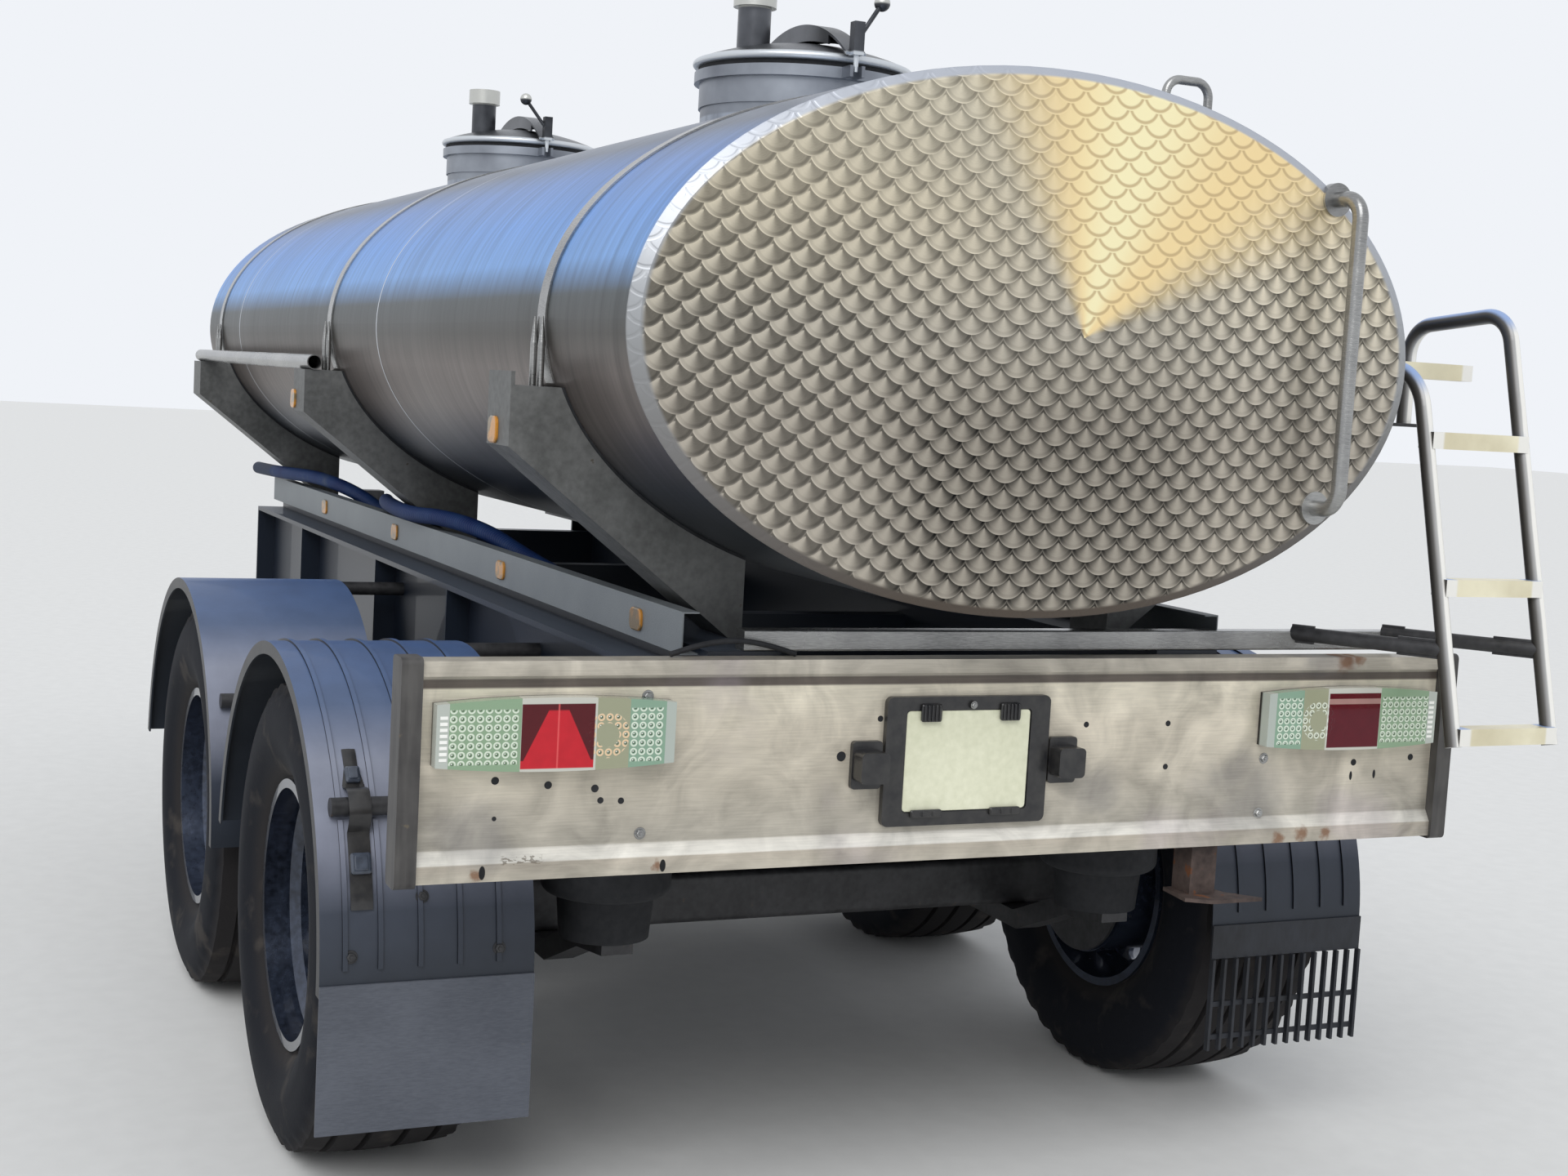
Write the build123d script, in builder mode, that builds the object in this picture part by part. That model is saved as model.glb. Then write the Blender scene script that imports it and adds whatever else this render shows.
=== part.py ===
# Two-axle drawbar tank trailer with an oval stainless tank, seen parked on its front jack.
# Millimetres, +X forward, +Y to the left, +Z up. The ground is Z = 0 and the origin is
# the middle of the overall length and width, on the ground.
import os
from math import atan2, cos, hypot, pi, radians, sin, sqrt

from build123d import *

os.makedirs("parts", exist_ok=True)

# Overall places along the trailer. Distances "ahead" are measured forward from the
# rear face of the lamp panel.
rear_face_x = -3003.0
rear_axle_ahead = 923.0
axle_spacing = 1310.0
frame_rear_ahead = 60.0
frame_front_ahead = 4330.0
eye_centre_ahead = 6230.0

# Wheels: 385/65 R22.5 single tyres, part worn, on deep dished steel rims.
wheel_centre_y = 1052.0
tyre_radius = 520.0
tyre_half_width = 192.0
tread_half_width = 165.0
tyre_wall = 17.0
tyre_widest_radius = 400.0
tyre_shoulder_drop = 9.0
rim_flange_radius = 298.5
rim_seat_radius = 286.0
rim_half_width = 149.0
rim_well_radius = 262.0
rim_thickness = 8.0
bead_gap = 0.3
disc_thickness = 14.0
disc_slope = 26.0
rim_flange_curl = 9.0
hub_face_radius = 190.0
hub_radius = 105.0
hub_reach = 78.0
stud_count = 10
stud_circle_radius = 167.5
stud_radius = 13.0
stud_reach = 34.0
vent_hole_radius = 22.0
vent_circle_radius = 226.0
drum_radius = 208.0
drum_width = 165.0
drum_wall = 14.0
drum_start = 34.0
spindle_radius = 36.0
running_gap = 1.0
axle_side = 120.0
backplate_thickness = 8.0
backplate_gap = 6.0

# Frame: two deep I-section rails, with the tank's own light rails on top.
frame_rail_y = 620.0
frame_top = 1183.0
frame_bottom = 820.0
flange_width = 136.0
flange_thickness = 14.0
web_thickness = 10.0
end_plate = 12.0
cross_member_width = 70.0
cross_member_bottom = 900.0
cross_member_top = 1120.0
subframe_inner_y = 440.0
subframe_outer_y = 595.0
subframe_top = 1225.0
subframe_rear_ahead = 60.0
subframe_front_ahead = 4330.0

# Galvanised side rail, a lipped channel outboard of the tank's own rails.
side_rail_outer_y = 630.0
side_rail_bottom = 1211.0
side_rail_top = 1295.0
side_rail_sheet = 3.0
side_rail_rear_ahead = 112.0
side_rail_front_ahead = 4330.0

# Tank: an ellipse across, with flat cones for heads and two manholes on top.
tank_half_width = 868.0
tank_half_height = 526.0
tank_bottom_z = 1318.0
tank_centre_z = tank_bottom_z + tank_half_height
tank_rear_ahead = -146.0
tank_front_ahead = 4430.0
head_knuckle = 22.0
head_rise = 55.0
head_tip_radius = 30.0
neck_radius = 250.0
neck_wall = 11.0
neck_rise = 114.0
neck_top = tank_centre_z + tank_half_height + neck_rise
neck_foot_radius = 245.0
neck_foot_height = 28.0
neck_ring_radius = 263.0
neck_ring_height = 26.0
seal_height = 12.0
seal_width = 14.0
lid_radius = 268.0
lid_rim_radius = 9.0
lid_rise = 48.5
lid_mid_rise = 37.0
lid_boss_radius = 30.0
lid_gap = 0.3
hinge_reach = 294.0
hinge_pin_radius = 7.0
hinge_barrel_radius = 13.0
hinge_barrel_half_length = 30.0
hinge_ear_thickness = 9.0
hinge_ear_gap = 1.0
bow_width = 50.0
bow_thickness = 6.0
bow_rise = 47.0
bow_cheek_reach = 190.0
bow_cheek_thickness = 5.0
bow_cheek_gap = 6.0
bow_cheek_end_rise = 30.0
bow_post_radius = 18.0
hinge_pin_gap = 0.5
vent_pipe_radius = 40.0
vent_cap_radius = 52.0
vent_pipe_height = 125.0
vent_cap_height = 46.0
vent_offset_x = 0.0
vent_offset_y = 135.0
clamp_block_width = 26.0
clamp_block_height = 76.0
clamp_rod_radius = 6.0
clamp_rod_below = 44.0
clamp_ear_gap = 5.0
clamp_ear_thickness = 8.0
clamp_lever_radius = 5.5
clamp_lever_foot = 27.0
clamp_lever_length = 107.0
clamp_knob_radius = 19.0
clamp_knob_overlap = 4.0
# Direction of the clamp lever: forward, sideways and up.
clamp_lever_way = [0.196, 0.580, 0.791]

# Saddles that carry the tank, and the straps that hold it down.
saddle_length = 150.0
saddle_plate = 8.0
saddle_overhang = 82.0
saddle_outer_y = tank_half_width + saddle_overhang
saddle_inner_y = 440.0
saddle_shelf_top = 1715.0
saddle_wing_bottom = 1597.0
saddle_foot_y = 470.0
saddle_pad = 6.0
skin_gap = 0.3
strap_width = 50.0
strap_thickness = 4.0
strap_foot_z = 1722.0
tie_rod_radius = 7.0
tie_rod_shoulder_z = 1800.0
tie_rod_tip_z = 1852.0
tie_rod_tip_radius = 1.5
tie_bolt_radius = 10.0
tie_bolt_drop = 74.0
tie_nut_across = 32.0
tie_nut_height = 26.0
tie_bolt_inset = 30.0

# Stainless panel at the back that carries lamps and number plate.
panel_half_width = 1169.0
panel_bottom = 808.0
panel_top = 1217.0
panel_sheet = 4.0
panel_recess = 15.0
panel_top_lip = 24.0
panel_bottom_lip = 33.0
panel_bottom_slope = 25.0
panel_top_depth = 58.0
panel_bottom_depth = 50.0
panel_bracket_height = 280.0
end_piece_width = 40.0
end_piece_depth = 66.0
end_piece_proud = 8.0
lamp_width = 460.0
lamp_end_height = 115.0
lamp_mid_height = 138.0
lamp_depth = 34.0
lamp_centre_y = 915.0
lamp_centre_z = 1083.0
plate_centre_y = 40.0
plate_centre_z = 1010.0
plate_frame_width = 376.0
plate_frame_height = 262.0
plate_frame_depth = 14.0
plate_width = 288.0
plate_height = 208.0
plate_recess = 4.0
plate_lamp_width = 62.0
plate_lamp_height = 96.0
plate_lamp_depth = 52.0
plate_lamp_offset_y = 226.0
plate_lamp_drop = 5.0
plate_lamp_base = 12.0

# Stainless square bar across the back, ahead of the panel, that carries the ladder.
cross_bar_side = 42.0
cross_bar_ahead = 60.0
cross_bar_left_y = 520.0
cross_bar_right_y = -1075.0

# Mudguards, stays and flaps.
guard_radius = 605.0
guard_sheet = 5.0
guard_inner_y = 832.0
guard_outer_y = 1266.0
guard_lip = 24.0
guard_front_degrees = 8.0
guard_rear_degrees = 181.0
guard_rib_height = 5.0
guard_rib_width = 10.0
guard_rib_offsets = [70.0, 150.0, 230.0, 310.0, 380.0]
guard_rib_end_degrees = 176.0
guard_rib_stay_gap_degrees = 2.0
stay_radius = 19.0
stay_outer_y = 1238.0
stay_top_degrees = 80.0
stay_rear_degrees = 146.0
flap_thickness = 6.0
flap_bottom = 235.0
flap_overlap = 25.0
flap_rib_count = 14
flap_rib_depth = 14.0
flap_rib_width = 7.0
flap_bar_height = 12.0

# Air suspension: hangers, trailing arms and bellows under each rail.
pivot_ahead_of_axle = 400.0
pivot_z = 575.0
hanger_rear_from_axle = 110.0
hanger_front_from_axle = 480.0
hanger_plate = 12.0
hanger_half_width = 52.0
hanger_back_lift = 90.0
hanger_bolt_overhang = 16.0
pivot_bolt_radius = 15.0
arm_width = 70.0
arm_height = 44.0
arm_top_at_axle = 460.0
bellows_behind_axle = 420.0
bellows_radius = 140.0
piston_radius = 105.0
piston_height = 95.0
bellows_roll = 22.0
bellows_bead = 12.0
arm_top_at_bellows = 552.0

# Drawbar, towing eye and parking jack.
drawbar_rear_ahead = 3300.0
drawbar_rear_y = 540.0
drawbar_front_ahead = 6020.0
drawbar_front_y = 62.0
drawbar_width = 90.0
drawbar_height = 140.0
nose_length = 130.0
nose_half_width = 112.0
eye_bore = 40.0
eye_outer_radius = 55.0
eye_thickness = 34.0
eye_shank_radius = 30.0
eye_shank_overlap = 13.0
jack_ahead = 5440.0
jack_tube = 90.0
jack_wall = 6.0
jack_slide_gap = 0.3
jack_top = 1180.0
jack_tube_bottom = 420.0
jack_foot_side = 220.0
jack_foot_thickness = 12.0
jack_cap_thickness = 8.0
jack_leg_length = 700.0
jack_beam_width = 80.0
crank_radius = 9.0
crank_arm = 180.0
crank_grip = 110.0
crank_stub = 40.0
crank_below_top = 60.0

# Ladder at the right rear corner, hung from the cross bar and the rear saddle.
ladder_saddle_gap = 30.0
ladder_width = 267.0
ladder_inner_y = -saddle_outer_y - ladder_saddle_gap
ladder_outer_y = ladder_inner_y - ladder_width
ladder_tube_radius = 17.0
ladder_foot_ahead = -262.0
ladder_foot_z = 1062.0
ladder_lean = 0.252
rung_height = 36.0
rung_depth = 46.0
ladder_inner_bend_z = 1800.0
ladder_outer_bend_z = 1940.0
ladder_hoop_front_ahead = 285.0
ladder_inner_radius = 110.0
ladder_outer_radius = 75.0
ladder_shelf_z = 1735.0
top_step_side = 8.0
top_step_front_ahead = 92.0
ladder_shelf_thickness = 8.0
ladder_shelf_length = 60.0
arm_tube_radius = 16.0
arm_lug_length = 100.0
arm_foot_length = 50.0
arm_lug_height = 40.0
arm_lug_thickness = 9.0
arm_z = 1262.0

# Handles on the tank.
grab_inset = 223.0
grab_y = grab_inset - tank_half_width
grab_top_z = 2180.0
grab_bottom_z = 1552.0
grab_reach = 92.0
grab_radius = 16.0
grab_bend = 45.0
rosette_radius = 34.0
grab_bottom_depth = 22.0
grab_top_depth = 18.0
loop_inner_y = -355.0
loop_outer_y = -460.0
loop_ahead = 50.0
loop_radius = 9.5
loop_bend = 32.0
loop_top_above_tank = 45.0
loop_foot_depth = 70.0

# Tube for the suction lance, between the front and middle saddles on the left.
lance_tube_inset = 25.0
lance_tube_y = saddle_outer_y - lance_tube_inset
lance_tube_radius = 21.0
lance_tube_wall = 3.0
lance_tube_rear_ahead = 2225.0
lance_tube_front_ahead = 4245.0

# Drop bracket of rusty square tube under the right of the panel.
drop_tube_side = 66.0
drop_tube_y = -595.0
drop_tube_bottom = 690.0
drop_plate_thickness = 8.0

# Milk hose that lies along the left side rail.
hose_radius = 22.5

# Derived places.
rear_axle_x = rear_face_x + rear_axle_ahead
front_axle_x = rear_axle_x + axle_spacing
axle_z = tyre_radius
tank_rear_x = rear_face_x + tank_rear_ahead
tank_front_x = rear_face_x + tank_front_ahead
frame_rear_x = rear_face_x + frame_rear_ahead
frame_front_x = rear_face_x + frame_front_ahead
eye_x = rear_face_x + eye_centre_ahead
eye_z = frame_bottom - drawbar_height / 2
saddle_shelf_bottom = saddle_shelf_top - saddle_plate

# Wheels: name, axle place, side (+1 left, -1 right).
wheels = [
    ("rear_left", rear_axle_x, 1),
    ("rear_right", rear_axle_x, -1),
    ("front_left", front_axle_x, 1),
    ("front_right", front_axle_x, -1),
]
# Saddles: name, distance of the rear edge ahead of the panel, top of the outboard plate.
saddles = [
    ("rear", 260.0, 1742.0),
    ("middle", 2230.0, 1715.0),
    ("front", 4090.0, 1715.0),
]
# Manholes: name, centre ahead of the panel, side to which the clamp lever leans.
manholes = [
    ("rear", 1085.0, -1),
    ("front", 3413.0, 1),
]
axle_places = (rear_axle_x, front_axle_x)
# Cross members: centre ahead of the panel.
cross_member_places = [330.0, 1578.0, 2900.0, 4280.0]
# Stiffening plates in the outer face of the frame rails: distance ahead of the panel.
stiffener_places = [330.0, 1620.0, 2420.0, 3500.0]
# Rungs of the ladder: height of the middle of each.
rung_places = [1085.0, 1393.0, 1703.0]
top_step_z = 1855.0
# Hose route: ahead of the panel, Y, Z of its middle line, from the front end back.
hose_route = [
    (4500.0, 660.0, 1319.0),
    (4250.0, 650.0, 1321.0),
    (3930.0, 640.0, 1330.0),
    (3600.0, 610.0, 1338.0),
    (3310.0, 546.0, 1308.0),
    (3080.0, 506.0, 1256.0),
    (2880.0, 522.0, 1262.0),
    (2710.0, 594.0, 1328.0),
    (2470.0, 646.0, 1330.0),
    (2190.0, 648.0, 1320.0),
    (1930.0, 618.0, 1334.0),
    (1690.0, 560.0, 1314.0),
    (1480.0, 522.0, 1268.0),
    (1285.0, 510.0, 1248.0),
]


def save(piece, name):
    piece.label = name
    export_step(piece, "parts/" + name + ".step")


def across(x, z=0.0, y=0.0):
    """Plane across the trailer at x: its X runs along +Y, its Y up, its normal forward."""
    return Plane(origin=(x, y, z), x_dir=(0, 1, 0), z_dir=(1, 0, 0))


def from_side(y, x=0.0, z=0.0):
    """Plane seen from the right: its X runs forward, its Y up, its normal to the right."""
    return Plane(origin=(x, y, z), x_dir=(1, 0, 0), z_dir=(0, -1, 0))


def wheel_section(axle_x, side):
    """Plane for the half section of a wheel: its X runs outboard, its Y up from the axle."""
    return Plane(
        origin=(axle_x, side * wheel_centre_y, axle_z), x_dir=(0, side, 0), z_dir=(side, 0, 0)
    )


def wheel_axis(axle_x, side):
    return Axis((axle_x, side * wheel_centre_y, axle_z), (0, side, 0))


def tank_height(y):
    """Height of the tank's skin above its widest line, at y."""
    return tank_half_height * sqrt(1 - (y / tank_half_width) ** 2)


def make_tyre(name, axle_x, side):
    bead = rim_seat_radius + bead_gap
    cheek = rim_half_width - bead_gap
    flank = rim_flange_radius + 4
    shoulder = tyre_radius - tyre_shoulder_drop
    with BuildPart() as tyre:
        with BuildSketch(wheel_section(axle_x, side)):
            with BuildLine():
                Polyline(
                    (cheek - 25, bead), (cheek, bead), (cheek, flank)
                )
                ThreePointArc(
                    (cheek, flank),
                    (tyre_half_width, tyre_widest_radius),
                    (tread_half_width + 6, shoulder - 14),
                )
                Line((tread_half_width + 6, shoulder - 14), (tread_half_width, shoulder))
                ThreePointArc(
                    (tread_half_width, shoulder), (0, tyre_radius), (-tread_half_width, shoulder)
                )
                Line((-tread_half_width, shoulder), (-tread_half_width - 6, shoulder - 14))
                ThreePointArc(
                    (-tread_half_width - 6, shoulder - 14),
                    (-tyre_half_width, tyre_widest_radius),
                    (-cheek, flank),
                )
                Polyline(
                    (-cheek, flank), (-cheek, bead), (25 - cheek, bead)
                )
                ThreePointArc(
                    (25 - cheek, bead),
                    (tyre_wall - tyre_half_width, tyre_widest_radius),
                    (-tread_half_width + 22, shoulder - 22),
                )
                Line(
                    (-tread_half_width + 22, shoulder - 22), (tread_half_width - 22, shoulder - 22)
                )
                ThreePointArc(
                    (tread_half_width - 22, shoulder - 22),
                    (tyre_half_width - tyre_wall, tyre_widest_radius),
                    (cheek - 25, bead),
                )
            make_face()
        revolve(axis=wheel_axis(axle_x, side))
    save(tyre.part, "tyre_" + name)


def make_wheel(name, axle_x, side):
    """Dished rim, wheel disc, hub and brake drum, which turn together."""
    seat = rim_seat_radius
    well = rim_well_radius
    wall = rim_thickness
    disc_in = rim_well_radius - rim_thickness
    bore = spindle_radius + running_gap
    drum_in = drum_radius - drum_wall
    hub_plane = Plane(
        origin=(axle_x, side * wheel_centre_y, axle_z), x_dir=(1, 0, 0), z_dir=(0, side, 0)
    )
    with BuildPart() as wheel:
        with BuildSketch(wheel_section(axle_x, side)):
            with BuildLine():
                Polyline(
                    (rim_half_width + rim_flange_curl, rim_flange_radius),
                    (rim_half_width, rim_flange_radius),
                    (rim_half_width, seat),
                    (95, seat - 4),
                    (72, well),
                    (-30, well),
                    (-62, seat - 4),
                    (-rim_half_width, seat),
                    (-rim_half_width, rim_flange_radius),
                    (-rim_half_width - rim_flange_curl, rim_flange_radius),
                    (-rim_half_width - rim_flange_curl, seat - wall),
                    (-66, seat - 4 - wall),
                    (-36, disc_in),
                    (78, disc_in),
                    (100, seat - 4 - wall),
                    (rim_half_width + rim_flange_curl, seat - wall),
                    close=True,
                )
            make_face()
            with BuildLine():
                Polyline(
                    (0, hub_radius - 2),
                    (disc_thickness, hub_radius - 2),
                    (disc_thickness, hub_face_radius),
                    (disc_thickness - disc_slope, disc_in + 2),
                    (-disc_slope, disc_in + 2),
                    (0, hub_face_radius),
                    close=True,
                )
            make_face()
            with BuildLine():
                Polyline(
                    (hub_reach, 0),
                    (hub_reach, 58),
                    (hub_reach - 10, 68),
                    (40, 72),
                    (30, hub_radius),
                    (-1, hub_radius),
                    (-1, hub_face_radius - 6),
                    (-drum_start, drum_radius),
                    (-drum_start - drum_width, drum_radius),
                    (-drum_start - drum_width, drum_in),
                    (-drum_start - 12, drum_in),
                    (-14, hub_radius),
                    (-30, 92),
                    (-96, 86),
                    (-96, bore),
                    (50, bore),
                    (50, 0),
                    close=True,
                )
            make_face()
            with BuildLine():
                Polyline(
                    (2, hub_radius - 4),
                    (2, hub_face_radius - 8),
                    (-3, hub_face_radius - 8),
                    (-3, hub_radius - 4),
                    close=True,
                )
            make_face()
        revolve(axis=wheel_axis(axle_x, side))
        with BuildSketch(hub_plane.offset(disc_thickness)):
            with PolarLocations(stud_circle_radius, stud_count):
                Circle(stud_radius)
        extrude(amount=stud_reach - disc_thickness)
        with BuildSketch(hub_plane.offset(-drum_start + 6)):
            with PolarLocations(vent_circle_radius, stud_count, start_angle=180 / stud_count):
                Circle(vent_hole_radius)
        extrude(amount=drum_start + 40, mode=Mode.SUBTRACT)
    save(wheel.part, "wheel_" + name)


def make_axles():
    backplate_out = wheel_centre_y - drum_start - drum_width - backplate_gap
    with BuildPart() as axles:
        for axle_x in axle_places:
            with BuildSketch(Plane.XZ.offset(-backplate_out)):
                with Locations((axle_x, axle_z)):
                    RectangleRounded(axle_side, axle_side, 16)
            extrude(amount=2 * backplate_out)
            for side in (1, -1):
                outward = Plane(
                    origin=(axle_x, side * (backplate_out - backplate_thickness), axle_z),
                    x_dir=(1, 0, 0),
                    z_dir=(0, side, 0),
                )
                with BuildSketch(outward):
                    Circle(drum_radius - 4)
                extrude(amount=backplate_thickness)
                with BuildSketch(outward):
                    Circle(spindle_radius)
                extrude(amount=wheel_centre_y + 40 - backplate_out + backplate_thickness)
    save(axles.part, "axles")


def make_trailing_arms():
    with BuildPart() as arms:
        for axle_x in axle_places:
            pivot_x = axle_x + pivot_ahead_of_axle
            bellows_x = axle_x - bellows_behind_axle
            for side in (1, -1):
                with BuildSketch(from_side(side * frame_rail_y + arm_width / 2)):
                    with BuildLine():
                        Polyline(
                            (pivot_x + 20, pivot_z + 24),
                            (pivot_x - 60, pivot_z + 24),
                            (axle_x + 110, arm_top_at_axle),
                            (axle_x - 110, arm_top_at_axle),
                            (bellows_x + 90, arm_top_at_bellows),
                            (bellows_x - 90, arm_top_at_bellows),
                            (bellows_x - 90, arm_top_at_bellows - arm_height / 2),
                            (bellows_x + 70, arm_top_at_bellows - arm_height),
                            (axle_x - 130, arm_top_at_axle - arm_height),
                            (axle_x + 130, arm_top_at_axle - arm_height),
                            (pivot_x + 10, pivot_z - 28),
                            (pivot_x + 30, pivot_z),
                            close=True,
                        )
                    make_face()
                    with Locations((pivot_x, pivot_z)):
                        Circle(pivot_bolt_radius + skin_gap, mode=Mode.SUBTRACT)
                extrude(amount=arm_width)
    save(arms.part, "trailing_arms")


def make_hangers():
    with BuildPart() as hangers:
        for axle_x in axle_places:
            pivot_x = axle_x + pivot_ahead_of_axle
            front_x = axle_x + hanger_front_from_axle
            back_height = frame_bottom - pivot_z - hanger_back_lift
            for side in (1, -1):
                for face in (1, -1):
                    start = side * frame_rail_y + face * hanger_half_width + hanger_plate / 2
                    with BuildSketch(from_side(start)):
                        with BuildLine():
                            Polyline(
                                (axle_x + hanger_rear_from_axle, frame_bottom),
                                (pivot_x - 60, pivot_z - 20),
                                (pivot_x - 20, pivot_z - 60),
                                (pivot_x + 40, pivot_z - 60),
                                (front_x, pivot_z),
                                (front_x, frame_bottom),
                                close=True,
                            )
                        make_face()
                    extrude(amount=hanger_plate)
                with BuildSketch(from_side(side * frame_rail_y + hanger_half_width)):
                    with Locations((front_x - hanger_plate / 2, frame_bottom - back_height / 2)):
                        Rectangle(hanger_plate, back_height)
                extrude(amount=2 * hanger_half_width)
                with BuildSketch(from_side(side * frame_rail_y + hanger_half_width + hanger_bolt_overhang)):
                    with Locations((pivot_x, pivot_z)):
                        Circle(pivot_bolt_radius)
                extrude(amount=2 * (hanger_half_width + hanger_bolt_overhang))
    save(hangers.part, "suspension_hangers")


def make_air_springs():
    foot = arm_top_at_bellows
    waist = foot + piston_height
    neck = bellows_radius - bellows_roll
    crown = frame_bottom - bellows_bead
    bulge = bellows_roll * cos(pi / 4)
    inset = bellows_roll - bulge
    with BuildPart() as springs:
        for axle_x in axle_places:
            for side in (1, -1):
                centre = (axle_x - bellows_behind_axle, side * frame_rail_y, 0)
                with BuildSketch(Plane(origin=centre, x_dir=(1, 0, 0), z_dir=(0, -1, 0))):
                    with BuildLine():
                        Polyline(
                            (0, foot), (piston_radius - 8, foot), (piston_radius, waist), (neck, waist)
                        )
                        ThreePointArc(
                            (neck, waist),
                            (neck + bulge, waist + inset),
                            (bellows_radius, waist + bellows_roll),
                        )
                        Line((bellows_radius, waist + bellows_roll), (bellows_radius, crown - bellows_roll))
                        ThreePointArc(
                            (bellows_radius, crown - bellows_roll),
                            (neck + bulge, crown - inset),
                            (neck, crown),
                        )
                        Polyline(
                            (neck, crown), (neck, frame_bottom), (0, frame_bottom), (0, foot)
                        )
                    make_face()
                revolve(axis=Axis(centre, (0, 0, 1)))
    save(springs.part, "air_springs")


def make_frame_rails():
    middle = (frame_top + frame_bottom) / 2
    with BuildPart() as rails:
        with BuildSketch(across(frame_rear_x)):
            for side in (1, -1):
                with Locations((side * frame_rail_y, frame_top - flange_thickness / 2)):
                    Rectangle(flange_width, flange_thickness)
                with Locations((side * frame_rail_y, frame_bottom + flange_thickness / 2)):
                    Rectangle(flange_width, flange_thickness)
                with Locations((side * frame_rail_y, middle)):
                    Rectangle(web_thickness, frame_top - frame_bottom)
        extrude(amount=frame_front_x - frame_rear_x)
        with BuildSketch(across(frame_front_x - end_plate)):
            for side in (1, -1):
                with Locations((side * frame_rail_y, middle)):
                    Rectangle(flange_width, frame_top - frame_bottom)
        extrude(amount=end_plate)
        for place in stiffener_places:
            with BuildSketch(across(rear_face_x + place)):
                for side in (1, -1):
                    with Locations((side * (frame_rail_y + flange_width / 4), middle)):
                        Rectangle(flange_width / 2, frame_top - frame_bottom)
            extrude(amount=web_thickness)
    save(rails.part, "frame_rails")


def make_cross_members():
    length = 2 * frame_rail_y - web_thickness
    with BuildPart() as members:
        for place in cross_member_places:
            with BuildSketch(across(rear_face_x + place - cross_member_width / 2)):
                with Locations((0, (cross_member_bottom + cross_member_top) / 2)):
                    Rectangle(length, cross_member_top - cross_member_bottom)
            extrude(amount=cross_member_width)
        inner = rear_face_x + panel_recess + panel_sheet
        with BuildSketch(across(inner)):
            for side in (1, -1):
                with Locations((side * frame_rail_y, (frame_top + frame_bottom) / 2)):
                    Rectangle(flange_width, panel_bracket_height)
        extrude(amount=frame_rear_x - inner)
    save(members.part, "cross_members")


def make_subframe():
    with BuildPart() as subframe:
        with BuildSketch(across(rear_face_x + subframe_rear_ahead)):
            for side in (1, -1):
                with Locations(
                    (side * (subframe_inner_y + subframe_outer_y) / 2, (frame_top + subframe_top) / 2)
                ):
                    Rectangle(subframe_outer_y - subframe_inner_y, subframe_top - frame_top)
        extrude(amount=subframe_front_ahead - subframe_rear_ahead)
    save(subframe.part, "subframe")


def make_side_rails():
    lip = side_rail_outer_y - subframe_outer_y
    middle = (side_rail_bottom + side_rail_top) / 2
    edges = (side_rail_bottom + side_rail_sheet / 2, side_rail_top - side_rail_sheet / 2)
    with BuildPart() as rails:
        with BuildSketch(across(rear_face_x + side_rail_rear_ahead)):
            for side in (1, -1):
                with Locations((side * (side_rail_outer_y - side_rail_sheet / 2), middle)):
                    Rectangle(side_rail_sheet, side_rail_top - side_rail_bottom)
                for height in edges:
                    with Locations((side * (side_rail_outer_y - lip / 2), height)):
                        Rectangle(lip, side_rail_sheet)
        extrude(amount=side_rail_front_ahead - side_rail_rear_ahead)
    save(rails.part, "side_rails")


def make_tank():
    rear_plane = across(tank_rear_x, tank_centre_z)
    front_plane = across(tank_front_x, tank_centre_z)
    inner_a = tank_half_width - head_knuckle
    inner_b = tank_half_height - head_knuckle
    tip_b = head_tip_radius * tank_half_height / tank_half_width
    with BuildPart() as tank:
        with BuildSketch(rear_plane):
            Ellipse(tank_half_width, tank_half_height)
        extrude(amount=tank_front_x - tank_rear_x)
        for plane, out in ((rear_plane, -1), (front_plane, 1)):
            with BuildSketch(plane):
                Ellipse(tank_half_width, tank_half_height)
            with BuildSketch(plane.offset(out * head_knuckle / 2)):
                Ellipse(inner_a, inner_b)
            loft(ruled=True)
            with BuildSketch(plane.offset(out * head_knuckle / 2)):
                Ellipse(inner_a, inner_b)
            with BuildSketch(plane.offset(out * head_rise)):
                Ellipse(head_tip_radius, tip_b)
            loft(ruled=True)
    save(tank.part, "tank_shell")
    return tank.part


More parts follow.
